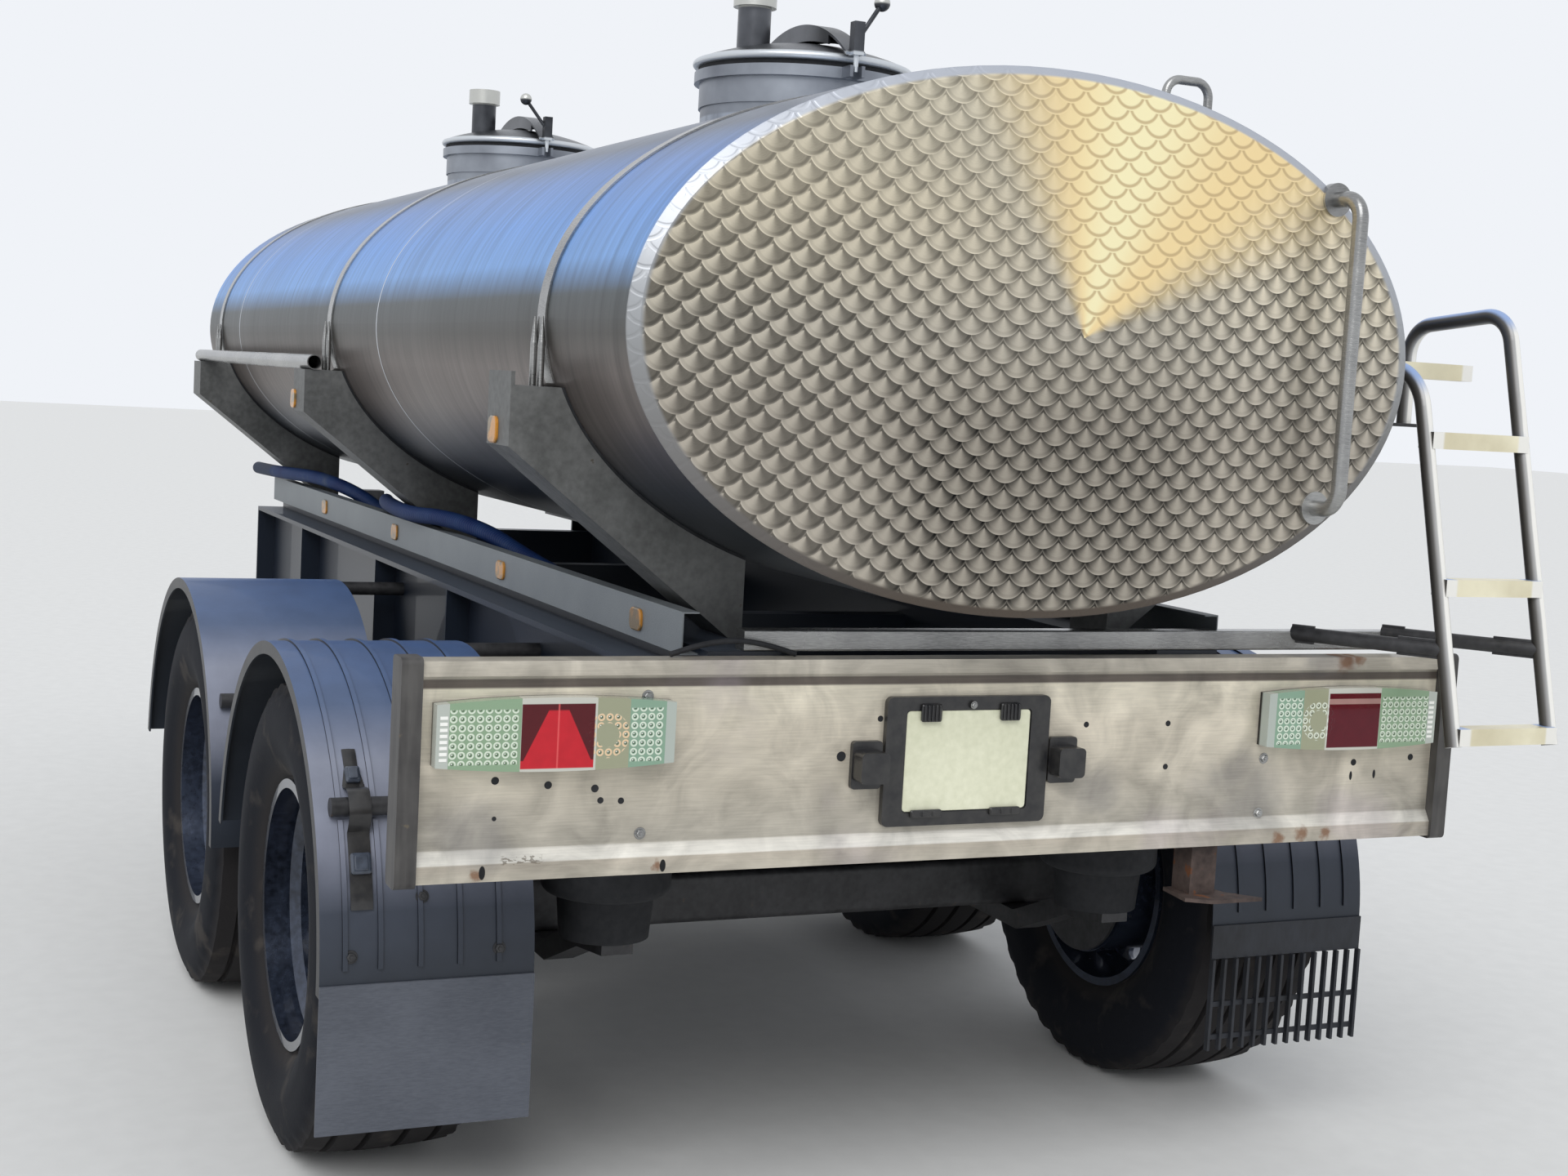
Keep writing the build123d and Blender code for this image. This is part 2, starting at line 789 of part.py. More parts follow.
def make_neck(name, place):
    """Open neck of one manhole, standing on the tank, with its hinge ears and clamp ears."""
    centre_x = rear_face_x + place
    hinge_x = centre_x + hinge_reach
    hinge_z = neck_top + seal_height + lid_gap + 2 * lid_rim_radius
    sleeve_foot = tank_centre_z + tank_half_height + neck_foot_height
    with BuildPart() as neck:
        with BuildSketch(Plane.XY.offset(tank_centre_z)):
            with Locations((centre_x, 0)):
                Circle(neck_foot_radius)
        extrude(amount=neck_top - tank_centre_z)
        with BuildSketch(Plane.XY.offset(sleeve_foot)):
            with Locations((centre_x, 0)):
                Circle(neck_radius)
        extrude(amount=neck_top - sleeve_foot)
        with BuildSketch(Plane.XY.offset(neck_top - neck_ring_height)):
            with Locations((centre_x, 0)):
                Circle(neck_ring_radius)
        extrude(amount=neck_ring_height)
        with BuildSketch(Plane.XY.offset(tank_centre_z)):
            with Locations((centre_x, 0)):
                Circle(neck_radius - neck_wall)
        extrude(amount=neck_top - tank_centre_z, mode=Mode.SUBTRACT)
        with BuildSketch(across(tank_rear_x, tank_centre_z)):
            Ellipse(tank_half_width + skin_gap, tank_half_height + skin_gap)
        extrude(amount=tank_front_x - tank_rear_x, mode=Mode.SUBTRACT)
        clamp_in = clamp_rod_radius + clamp_ear_gap
        clamp_ear_end = hinge_reach + 2 * clamp_rod_radius
        for side in (1, -1):
            outer = max(side * clamp_in, side * (clamp_in + clamp_ear_thickness))
            with BuildSketch(from_side(outer)):
                with Locations(
                    (centre_x - (clamp_ear_end + neck_radius) / 2, neck_top - neck_ring_height / 2)
                ):
                    Rectangle(clamp_ear_end - neck_radius, neck_ring_height)
            extrude(amount=clamp_ear_thickness)
        ear_in = hinge_barrel_half_length + hinge_ear_gap
        hinge_ear_root = hinge_reach - neck_radius + 8
        for side in (1, -1):
            outer = max(side * ear_in, side * (ear_in + hinge_ear_thickness))
            with BuildSketch(from_side(outer, hinge_x, hinge_z)):
                with BuildLine():
                    Polyline(
                        (-hinge_ear_root, -100),
                        (-hinge_ear_root, -66),
                        (-24, -38),
                        (-14, -8),
                        (-9, 11),
                        (5, 14),
                        (14, 2),
                        (13, -52),
                        (-22, -100),
                        close=True,
                    )
                make_face()
            extrude(amount=hinge_ear_thickness)
        with BuildSketch(from_side(ear_in + hinge_ear_thickness)):
            with Locations((hinge_x, hinge_z)):
                Circle(hinge_pin_radius)
        extrude(amount=2 * (ear_in + hinge_ear_thickness))
    save(neck.part, "manhole_neck_" + name)


def make_lid(name, place):
    """Domed lid with its breather pipe and cap."""
    centre_x = rear_face_x + place
    base = neck_top + seal_height + lid_gap
    rim_z = base + lid_rim_radius
    shoulder = base + 2 * lid_rim_radius
    dome_edge = lid_radius - lid_rim_radius
    vent = (centre_x + vent_offset_x, vent_offset_y)
    with BuildPart() as lid:
        with BuildSketch(Plane(origin=(centre_x, 0, 0), x_dir=(1, 0, 0), z_dir=(0, -1, 0))):
            with BuildLine():
                Line((0, base), (dome_edge, base))
                ThreePointArc((dome_edge, base), (lid_radius, rim_z), (dome_edge, shoulder))
                ThreePointArc(
                    (dome_edge, shoulder),
                    (dome_edge / 2, shoulder + lid_mid_rise),
                    (lid_boss_radius, shoulder + lid_rise),
                )
                Polyline(
                    (lid_boss_radius, shoulder + lid_rise), (0, shoulder + lid_rise), (0, base)
                )
            make_face()
        revolve(axis=Axis((centre_x, 0, 0), (0, 0, 1)))
        with BuildSketch(Plane.XY.offset(shoulder)):
            with Locations(vent):
                Circle(vent_pipe_radius)
        extrude(amount=vent_pipe_height)
        with BuildSketch(Plane.XY.offset(shoulder + vent_pipe_height)):
            with Locations(vent):
                Circle(vent_cap_radius)
        extrude(amount=vent_cap_height)
    save(lid.part, "lid_" + name)


def make_seals():
    with BuildPart() as seals:
        for name, place, lean in manholes:
            with BuildSketch(Plane.XY.offset(neck_top)):
                with Locations((rear_face_x + place, 0)):
                    Circle(neck_radius + 4)
                    Circle(neck_radius + 4 - seal_width, mode=Mode.SUBTRACT)
            extrude(amount=seal_height)
    save(seals.part, "lid_seals")


def make_bow(name, place, lean):
    """Arched strap over the lid, from the lever clamp at the back to the hinge at the front."""
    centre_x = rear_face_x + place
    hinge_x = centre_x + hinge_reach
    shoulder = neck_top + seal_height + lid_gap + 2 * lid_rim_radius
    crown = shoulder + lid_rise + bow_rise
    rise = crown - shoulder
    arc_radius = (hinge_reach ** 2 + rise ** 2) / (2 * rise)
    arc_centre_z = crown - arc_radius
    half_angle = atan2(hinge_reach, shoulder - arc_centre_z)
    with BuildPart() as bow:
        with BuildSketch(from_side(bow_width / 2, centre_x, arc_centre_z)):
            with BuildLine():
                outer = arc_radius
                inner = arc_radius - bow_thickness
                left = (-sin(half_angle), cos(half_angle))
                ThreePointArc(
                    (outer * left[0], outer * left[1]), (0, outer), (-outer * left[0], outer * left[1])
                )
                Line((-outer * left[0], outer * left[1]), (-inner * left[0], inner * left[1]))
                ThreePointArc(
                    (-inner * left[0], inner * left[1]), (0, inner), (inner * left[0], inner * left[1])
                )
                Line((inner * left[0], inner * left[1]), (outer * left[0], outer * left[1]))
            make_face()
        extrude(amount=bow_width)
        cheek_top = arc_radius - bow_thickness / 2
        cheek_low = shoulder + lid_rise + bow_cheek_gap - arc_centre_z
        cheek_end = shoulder + bow_cheek_end_rise - arc_centre_z
        cheek_top_end = (cheek_top ** 2 - bow_cheek_reach ** 2) ** 0.5
        for start in (bow_width / 2, bow_cheek_thickness - bow_width / 2):
            with BuildSketch(from_side(start, centre_x, arc_centre_z)):
                with BuildLine():
                    ThreePointArc(
                        (-bow_cheek_reach, cheek_top_end), (0, cheek_top), (bow_cheek_reach, cheek_top_end)
                    )
                    Line((bow_cheek_reach, cheek_top_end), (bow_cheek_reach, cheek_end))
                    ThreePointArc(
                        (bow_cheek_reach, cheek_end), (0, cheek_low), (-bow_cheek_reach, cheek_end)
                    )
                    Line((-bow_cheek_reach, cheek_end), (-bow_cheek_reach, cheek_top_end))
                make_face()
            extrude(amount=bow_cheek_thickness)
        with BuildSketch(from_side(hinge_barrel_half_length)):
            with Locations((hinge_x, shoulder)):
                Circle(hinge_barrel_radius)
        extrude(amount=2 * hinge_barrel_half_length)
        with BuildSketch(Plane.XY.offset(shoulder + lid_rise)):
            with Locations((centre_x, 0)):
                Circle(bow_post_radius)
        extrude(amount=bow_rise - bow_thickness / 2)
        with BuildSketch(Plane.XY.offset(shoulder - clamp_rod_below)):
            with Locations((centre_x - hinge_reach, 0)):
                Circle(clamp_rod_radius)
        extrude(amount=clamp_rod_below)
        with BuildSketch(Plane.XY.offset(shoulder - bow_thickness)):
            with Locations((centre_x - hinge_reach, 0)):
                Rectangle(clamp_block_width, clamp_block_width)
        extrude(amount=clamp_block_height)
        lever_foot = Vector(centre_x - hinge_reach, 0, shoulder + clamp_lever_foot)
        forward, sideways, rise_part = clamp_lever_way
        lever_way = Vector(forward, lean * sideways, rise_part).normalized()
        with BuildSketch(Plane(origin=lever_foot, z_dir=lever_way)):
            Circle(clamp_lever_radius)
        extrude(amount=clamp_lever_length)
        knob_reach = clamp_lever_length + clamp_knob_radius - clamp_knob_overlap
        with Locations(lever_foot + lever_way * knob_reach):
            Sphere(clamp_knob_radius)
        with BuildSketch(from_side(hinge_barrel_half_length + 1)):
            with Locations((hinge_x, shoulder)):
                Circle(hinge_pin_radius + hinge_pin_gap)
        extrude(amount=2 * hinge_barrel_half_length + 2, mode=Mode.SUBTRACT)
    save(bow.part, "lid_bow_" + name)


def saddle_outline():
    """Half outline of a saddle in the cross plane, its tank side left straight."""
    return [
        (saddle_inner_y, subframe_top),
        (saddle_foot_y, subframe_top),
        (saddle_outer_y, saddle_wing_bottom),
        (saddle_outer_y, saddle_shelf_top),
        (saddle_inner_y, saddle_shelf_top),
    ]


def make_saddle(name, place, wing_top):
    rear = rear_face_x + place
    slope_y = saddle_outer_y - saddle_foot_y
    slope_z = saddle_wing_bottom - subframe_top
    slope = hypot(slope_y, slope_z)
    shift_y = saddle_plate * slope_z / slope
    shift_z = saddle_plate * slope_y / slope
    pad_a = tank_half_width + skin_gap + saddle_pad
    pad_b = tank_half_height + skin_gap + saddle_pad
    with BuildPart() as saddle:
        for side in (1, -1):
            with BuildSketch(across(rear)):
                with BuildLine():
                    Polyline(*[(side * y, z) for y, z in saddle_outline()], close=True)
                make_face()
                with Locations((0, tank_centre_z)):
                    Ellipse(pad_a, pad_b, mode=Mode.SUBTRACT)
            extrude(amount=saddle_plate)
            with BuildSketch(across(rear)):
                with BuildLine():
                    Polyline(*[(side * y, z) for y, z in saddle_outline()], close=True)
                make_face()
                with Locations((0, tank_centre_z)):
                    Ellipse(pad_a + saddle_plate, pad_b + saddle_plate, mode=Mode.INTERSECT)
                    Ellipse(pad_a, pad_b, mode=Mode.SUBTRACT)
            extrude(amount=saddle_length)
            with BuildSketch(across(rear)):
                with BuildLine():
                    Polyline(
                        (side * saddle_foot_y, subframe_top),
                        (side * saddle_outer_y, saddle_wing_bottom),
                        (side * (saddle_outer_y - shift_y), saddle_wing_bottom + shift_z),
                        (side * (saddle_foot_y - shift_y), subframe_top + shift_z),
                        close=True,
                    )
                make_face()
                with Locations(
                    (side * (saddle_outer_y - saddle_plate / 2), (saddle_wing_bottom + wing_top) / 2)
                ):
                    Rectangle(saddle_plate, wing_top - saddle_wing_bottom)
                shelf_in = tank_half_width + 6
                with Locations(
                    (side * (shelf_in + saddle_outer_y) / 2, saddle_shelf_top - saddle_plate / 2)
                ):
                    Rectangle(saddle_outer_y - shelf_in, saddle_plate)
                inner_top = tank_centre_z - tank_height(saddle_inner_y) - saddle_pad - 14
                with Locations(
                    (side * (saddle_inner_y + saddle_plate / 2), (subframe_top + inner_top) / 2)
                ):
                    Rectangle(saddle_plate, inner_top - subframe_top)
                foot_width = saddle_foot_y - saddle_inner_y
                with Locations((side * (saddle_inner_y + foot_width / 2), subframe_top + saddle_plate / 2)):
                    Rectangle(foot_width, saddle_plate)
            extrude(amount=saddle_length)
    save(saddle.part, "saddle_" + name)


def make_saddle_pads():
    top = saddle_shelf_top
    with BuildPart() as pads:
        for name, place, wing_top in saddles:
            for side in (1, -1):
                with BuildSketch(across(rear_face_x + place)):
                    with Locations((side * (saddle_inner_y + saddle_outer_y) / 2, (subframe_top + top) / 2)):
                        Rectangle(saddle_outer_y - saddle_inner_y, top - subframe_top)
                    with Locations((0, tank_centre_z)):
                        Ellipse(
                            tank_half_width + skin_gap + saddle_pad,
                            tank_half_height + skin_gap + saddle_pad,
                            mode=Mode.INTERSECT,
                        )
                        Ellipse(
                            tank_half_width + skin_gap, tank_half_height + skin_gap, mode=Mode.SUBTRACT
                        )
                extrude(amount=saddle_length)
    save(pads.part, "saddle_pads")


def make_straps():
    outer_a = tank_half_width + skin_gap + strap_thickness
    outer_b = tank_half_height + skin_gap + strap_thickness
    rod_y = tank_half_width + skin_gap + 1 + tie_rod_radius
    bolt_y = (tank_half_width + 6 + saddle_outer_y) / 2
    with BuildPart() as straps:
        for name, place, wing_top in saddles:
            middle = rear_face_x + place + saddle_length / 2
            with BuildSketch(across(middle - strap_width / 2)):
                with Locations((0, tank_centre_z)):
                    Ellipse(outer_a, outer_b)
                    Ellipse(
                        tank_half_width + skin_gap, tank_half_height + skin_gap, mode=Mode.SUBTRACT
                    )
                with Locations((0, strap_foot_z - tank_half_height)):
                    Rectangle(4 * tank_half_width, 2 * tank_half_height, mode=Mode.SUBTRACT)
            extrude(amount=strap_width)
            for side in (1, -1):
                for along in (-1, 1):
                    rod_x = middle + along * strap_width / 2
                    with BuildSketch(Plane.XY.offset(saddle_shelf_top)):
                        with Locations((rod_x, side * rod_y)):
                            Circle(tie_rod_radius)
                    extrude(amount=tie_rod_shoulder_z - saddle_shelf_top)
                    with BuildSketch(Plane.XY.offset(tie_rod_shoulder_z)):
                        with Locations((rod_x, side * rod_y)):
                            Circle(tie_rod_radius)
                    with BuildSketch(Plane.XY.offset(tie_rod_tip_z)):
                        with Locations((rod_x, side * rod_y)):
                            Circle(tie_rod_tip_radius)
                    loft()
                spot = (rear_face_x + place + tie_bolt_inset, side * bolt_y)
                with BuildSketch(Plane.XY.offset(saddle_shelf_bottom - tie_bolt_drop)):
                    with Locations(spot):
                        Circle(tie_bolt_radius)
                extrude(amount=tie_bolt_drop)
                with BuildSketch(Plane.XY.offset(saddle_shelf_bottom - 8 - 2 * tie_nut_height)):
                    with Locations(spot):
                        RegularPolygon(tie_nut_across / 2, 6, major_radius=False)
                extrude(amount=2 * tie_nut_height)
    save(straps.part, "hold_down_straps")


def make_panel():
    x0 = rear_face_x
    sheet = panel_sheet
    with BuildPart() as panel:
        with BuildSketch(from_side(panel_half_width)):
            with BuildLine():
                Polyline(
                    (x0, panel_top),
                    (x0 + panel_top_depth, panel_top),
                    (x0 + panel_top_depth, panel_top - sheet),
                    (x0 + sheet, panel_top - sheet),
                    (x0 + sheet, panel_top - panel_top_lip),
                    (x0 + panel_recess + sheet, panel_top - panel_top_lip),
                    (x0 + panel_recess + sheet, panel_bottom + panel_bottom_lip + panel_bottom_slope - 2),
                    (x0 + sheet, panel_bottom + panel_bottom_lip - 2),
                    (x0 + sheet, panel_bottom + sheet),
                    (x0 + panel_bottom_depth, panel_bottom + sheet),
                    (x0 + panel_bottom_depth, panel_bottom),
                    (x0, panel_bottom),
                    (x0, panel_bottom + panel_bottom_lip),
                    (x0 + panel_recess, panel_bottom + panel_bottom_lip + panel_bottom_slope),
                    (x0 + panel_recess, panel_top - panel_top_lip - sheet),
                    (x0, panel_top - panel_top_lip - sheet),
                    close=True,
                )
            make_face()
        extrude(amount=2 * panel_half_width)
    save(panel.part, "rear_panel")


def make_end_pieces():
    with BuildPart() as ends:
        for side in (1, -1):
            start = max(side * panel_half_width, side * (panel_half_width + end_piece_width))
            with BuildSketch(from_side(start)):
                with Locations(
                    (
                        rear_face_x - end_piece_proud + end_piece_depth / 2,
                        (panel_top + panel_bottom) / 2,
                    )
                ):
                    RectangleRounded(end_piece_depth, panel_top - panel_bottom + 14, 12)
            extrude(amount=end_piece_width)
    save(ends.part, "panel_end_pieces")


def make_lamps():
    face = rear_face_x + panel_recess
    half = lamp_width / 2
    end = lamp_end_height / 2
    mid = lamp_mid_height / 2
    with BuildPart() as lamps:
        for side in (1, -1):
            with BuildSketch(across(face - lamp_depth, lamp_centre_z, side * lamp_centre_y)):
                with BuildLine():
                    ThreePointArc((-half, end), (0, mid), (half, end))
                    Line((half, end), (half, -end))
                    ThreePointArc((half, -end), (0, -mid), (-half, -end))
                    Line((-half, -end), (-half, end))
                make_face()
            extrude(amount=lamp_depth)
    save(lamps.part, "tail_lamps")


def make_plate_holder():
    face = rear_face_x + panel_recess
    with BuildPart() as holder:
        with BuildSketch(across(face - plate_frame_depth, plate_centre_z, plate_centre_y)):
            RectangleRounded(plate_frame_width, plate_frame_height, 14)
        extrude(amount=plate_frame_depth)
        with BuildSketch(across(face - plate_frame_depth, plate_centre_z, plate_centre_y)):
            RectangleRounded(plate_width, plate_height, 8)
        extrude(amount=plate_recess, mode=Mode.SUBTRACT)
    save(holder.part, "plate_holder")


def make_plate_lamps():
    face = rear_face_x + panel_recess
    with BuildPart() as lamps:
        for side in (1, -1):
            lamp_y = plate_centre_y + side * plate_lamp_offset_y
            spot = across(face - plate_lamp_depth, plate_centre_z - plate_lamp_drop, lamp_y)
            with BuildSketch(spot):
                RectangleRounded(plate_lamp_width, plate_lamp_height - 34, 10)
            extrude(amount=plate_lamp_depth)
            with BuildSketch(spot.offset(plate_lamp_depth - plate_lamp_base)):
                RectangleRounded(plate_lamp_width + 4, plate_lamp_height, 8)
            extrude(amount=plate_lamp_base)
    save(lamps.part, "plate_lamps")


def make_cross_bar():
    with BuildPart() as bar:
        with BuildSketch(from_side(cross_bar_left_y)):
            with Locations(
                (rear_face_x + cross_bar_ahead + cross_bar_side / 2, subframe_top + cross_bar_side / 2)
            ):
                RectangleRounded(cross_bar_side, cross_bar_side, 4)
        extrude(amount=cross_bar_left_y - cross_bar_right_y)
    save(bar.part, "rear_cross_bar")
    return bar.part


def guard_point(axle_x, radius, angle):
    return (axle_x + radius * cos(radians(angle)), axle_z + radius * sin(radians(angle)))


def make_guard(name, axle_x, side):
    """Rolled sheet over a wheel with a turned-in outer lip, and raised ribs on the rear pair."""
    inner = guard_radius - guard_sheet
    sheet_start = max(side * guard_inner_y, side * guard_outer_y)
    lip_start = max(side * guard_outer_y, side * (guard_outer_y - guard_sheet))
    whole = (guard_front_degrees, guard_rear_degrees)
    rib_spans = [
        (guard_front_degrees, stay_rear_degrees - guard_rib_stay_gap_degrees),
        (stay_rear_degrees + guard_rib_stay_gap_degrees, guard_rib_end_degrees),
    ]
    # Outer radius, inner radius, left edge, width, first and last angle.
    bands = [
        (guard_radius, inner, sheet_start, guard_outer_y - guard_inner_y, whole),
        (inner, inner - guard_lip, lip_start, guard_sheet, whole),
    ]
    if axle_x == rear_axle_x:
        for offset in guard_rib_offsets:
            rib = guard_inner_y + offset
            rib_start = max(side * rib, side * (rib + guard_rib_width))
            for span in rib_spans:
                bands.append(
                    (guard_radius + guard_rib_height, inner, rib_start, guard_rib_width, span)
                )
    with BuildPart() as guard:
        for radius_out, radius_in, start, width, (first, last) in bands:
            middle_angle = (first + last) / 2
            with BuildSketch(from_side(start)):
                with BuildLine():
                    ThreePointArc(
                        guard_point(axle_x, radius_out, first),
                        guard_point(axle_x, radius_out, middle_angle),
                        guard_point(axle_x, radius_out, last),
                    )
                    Line(
                        guard_point(axle_x, radius_out, last),
                        guard_point(axle_x, radius_in, last),
                    )
                    ThreePointArc(
                        guard_point(axle_x, radius_in, last),
                        guard_point(axle_x, radius_in, middle_angle),
                        guard_point(axle_x, radius_in, first),
                    )
                    Line(
                        guard_point(axle_x, radius_in, first),
                        guard_point(axle_x, radius_out, first),
                    )
                make_face()
            extrude(amount=width)
    save(guard.part, "mudguard_" + name)


def make_stays():
    web_face = frame_rail_y + web_thickness / 2
    top_radius = guard_radius - guard_sheet - stay_radius
    rear_radius = guard_radius + stay_radius
    with BuildPart() as stays:
        for axle_x in axle_places:
            spots = [
                guard_point(axle_x, top_radius, stay_top_degrees),
                guard_point(axle_x, rear_radius, stay_rear_degrees),
            ]
            for side in (1, -1):
                for spot in spots:
                    with BuildSketch(from_side(max(side * web_face, side * stay_outer_y))):
                        with Locations(spot):
                            Circle(stay_radius)
                    extrude(amount=stay_outer_y - web_face)
    save(stays.part, "guard_stays")


def make_flap_left():
    rear_edge = guard_point(rear_axle_x, guard_radius, guard_rear_degrees)
    flap_x = rear_axle_x - guard_radius - skin_gap
    top = rear_edge[1] + flap_overlap
    with BuildPart() as flap:
        with BuildSketch(across(flap_x - flap_thickness)):
            with Locations(((guard_inner_y + guard_outer_y) / 2, (top + flap_bottom) / 2)):
                Rectangle(guard_outer_y - guard_inner_y, top - flap_bottom)
        extrude(amount=flap_thickness)
    save(flap.part, "mud_flap_left")


def make_flap_right():
    rear_edge = guard_point(rear_axle_x, guard_radius, guard_rear_degrees)
    flap_x = rear_axle_x - guard_radius - skin_gap
    top = rear_edge[1] + flap_overlap
    width = guard_outer_y - guard_inner_y
    pitch = (width - flap_rib_width) / (flap_rib_count - 1)
    with BuildPart() as flap:
        with BuildSketch(across(flap_x - flap_thickness)):
            with Locations((-(guard_inner_y + guard_outer_y) / 2, top - 40)):
                Rectangle(width, 80)
            for height in (flap_bottom + 30, (flap_bottom + top - 80) / 2):
                with Locations((-(guard_inner_y + guard_outer_y) / 2, height)):
                    Rectangle(width, flap_bar_height)
        extrude(amount=flap_thickness)
        with BuildSketch(across(flap_x - flap_rib_depth)):
            for index in range(flap_rib_count):
                rib_y = -(guard_inner_y + flap_rib_width / 2 + index * pitch)
                with Locations((rib_y, (flap_bottom + top - 80) / 2)):
                    Rectangle(flap_rib_width, top - 80 - flap_bottom)
        extrude(amount=flap_rib_depth)
    save(flap.part, "mud_flap_right")


def make_drawbar():
    rear_x = rear_face_x + drawbar_rear_ahead
    front_x = rear_face_x + drawbar_front_ahead
    angle = atan2(drawbar_rear_y - drawbar_front_y, front_x - rear_x)
    jack_rear = rear_face_x + jack_ahead - jack_tube / 2
    half = drawbar_width / 2 / cos(angle)
    with BuildPart() as drawbar:
        for side in (1, -1):
            with BuildSketch(Plane.XY.offset(frame_bottom - drawbar_height)):
                with BuildLine():
                    Polyline(
                        (rear_x, side * (drawbar_rear_y - half)),
                        (rear_x, side * (drawbar_rear_y + half)),
                        (front_x, side * (drawbar_front_y + half)),
                        (front_x, side * (drawbar_front_y - half)),
                        close=True,
                    )
                make_face()
            extrude(amount=drawbar_height)
        with BuildSketch(Plane.XY.offset(frame_bottom - drawbar_height)):
            with Locations((front_x + nose_length / 2, 0)):
                Rectangle(nose_length, 2 * nose_half_width)
        extrude(amount=drawbar_height)
        reach = (jack_rear - rear_x) / (front_x - rear_x)
        beam_y = drawbar_rear_y + (drawbar_front_y - drawbar_rear_y) * reach
        with BuildSketch(Plane.XY.offset(frame_bottom - drawbar_height)):
            with Locations((jack_rear - jack_beam_width / 2, 0)):
                Rectangle(jack_beam_width, 2 * beam_y)
        extrude(amount=drawbar_height)
    save(drawbar.part, "drawbar")


def make_towing_eye():
    shank_rear = rear_face_x + drawbar_front_ahead + nose_length
    with BuildPart() as eye:
        with BuildSketch(Plane.XY.offset(eye_z - eye_thickness / 2)):
            with Locations((eye_x, 0)):
                Circle(eye_outer_radius)
        extrude(amount=eye_thickness)
        with BuildSketch(across(shank_rear, eye_z)):
            Circle(eye_shank_radius)
        extrude(amount=eye_x - eye_outer_radius + eye_shank_overlap - shank_rear)
        with BuildSketch(Plane.XY.offset(eye_z - 2 * eye_thickness)):
            with Locations((eye_x, 0)):
                Circle(eye_bore / 2)
        extrude(amount=4 * eye_thickness, mode=Mode.SUBTRACT)
    save(eye.part, "towing_eye")


def make_jack():
    jack_x = rear_face_x + jack_ahead
    crank_z = jack_top - crank_below_top
    face = jack_tube / 2
    inner = jack_tube - 2 * jack_wall - 2 * jack_slide_gap
    with BuildPart() as housing:
        with BuildSketch(Plane.XY.offset(jack_tube_bottom)):
            with Locations((jack_x, 0)):
                Rectangle(jack_tube, jack_tube)
                Rectangle(jack_tube - 2 * jack_wall, jack_tube - 2 * jack_wall, mode=Mode.SUBTRACT)
        extrude(amount=jack_top - jack_tube_bottom)
        with BuildSketch(Plane.XY.offset(jack_top)):
            with Locations((jack_x, 0)):
                Rectangle(jack_tube, jack_tube)
        extrude(amount=jack_cap_thickness)
        with BuildSketch(from_side(face + crank_stub, jack_x, crank_z)):
            Circle(crank_radius)
        extrude(amount=crank_stub)
        with BuildSketch(from_side(face + crank_stub + 2 * crank_radius, jack_x, crank_z)):
            with Locations((0, -crank_arm / 2)):
                Rectangle(2 * crank_radius, crank_arm + 2 * crank_radius)
        extrude(amount=2 * crank_radius)
        with BuildSketch(from_side(face + crank_stub + crank_grip, jack_x, crank_z - crank_arm)):
            Circle(crank_radius)
        extrude(amount=crank_grip - crank_radius)
    save(housing.part, "jack_housing")
    with BuildPart() as leg:
        with BuildSketch(Plane.XY.offset(jack_foot_thickness)):
            with Locations((jack_x, 0)):
                Rectangle(inner, inner)
        extrude(amount=jack_leg_length)
        with BuildSketch(Plane.XY):
            with Locations((jack_x, 0)):
                RectangleRounded(jack_foot_side, jack_foot_side, 20)
        extrude(amount=jack_foot_thickness)
    save(leg.part, "jack_leg")


def ladder_x(z):
    """Place of the ladder's straight legs at height z."""
    return rear_face_x + ladder_foot_ahead + (z - ladder_foot_z) * ladder_lean


def make_ladder():
    front_x = rear_face_x + ladder_hoop_front_ahead
    legs = [
        (ladder_inner_y, ladder_inner_bend_z + 60, ladder_inner_radius, ladder_inner_bend_z + 40),
        (ladder_outer_y, ladder_outer_bend_z + 50, ladder_outer_radius, ladder_outer_bend_z + 20),
    ]
    with BuildPart() as ladder:
        for leg_y, top_rear, radius, top_front in legs:
            with BuildLine() as path:
                FilletPolyline(
                    (ladder_x(ladder_foot_z), leg_y, ladder_foot_z),
                    (ladder_x(top_rear), leg_y, top_rear),
                    (front_x, leg_y, top_front),
                    (front_x, leg_y, ladder_shelf_z),
                    radius=radius,
                )
            start = path.line @ 0
            with BuildSketch(Plane(origin=start, z_dir=path.line % 0)):
                Circle(ladder_tube_radius)
            sweep()
        rung_width = ladder_inner_y - ladder_outer_y
        for rung_z in rung_places:
            with BuildSketch(from_side(ladder_inner_y, ladder_x(rung_z), rung_z)):
                Rectangle(rung_depth, rung_height)
            extrude(amount=rung_width)
        with BuildSketch(from_side(ladder_inner_y, rear_face_x + 92, top_step_z)):
            Rectangle(rung_depth, rung_height)
        extrude(amount=rung_width)
        shelf_x = rear_face_x + top_step_front_ahead
        with BuildSketch(from_side(ladder_outer_y + top_step_side, (shelf_x + front_x) / 2, top_step_z)):
            Rectangle(front_x - shelf_x, top_step_side)
        extrude(amount=2 * top_step_side)
    save(ladder.part, "ladder")
    return ladder.part


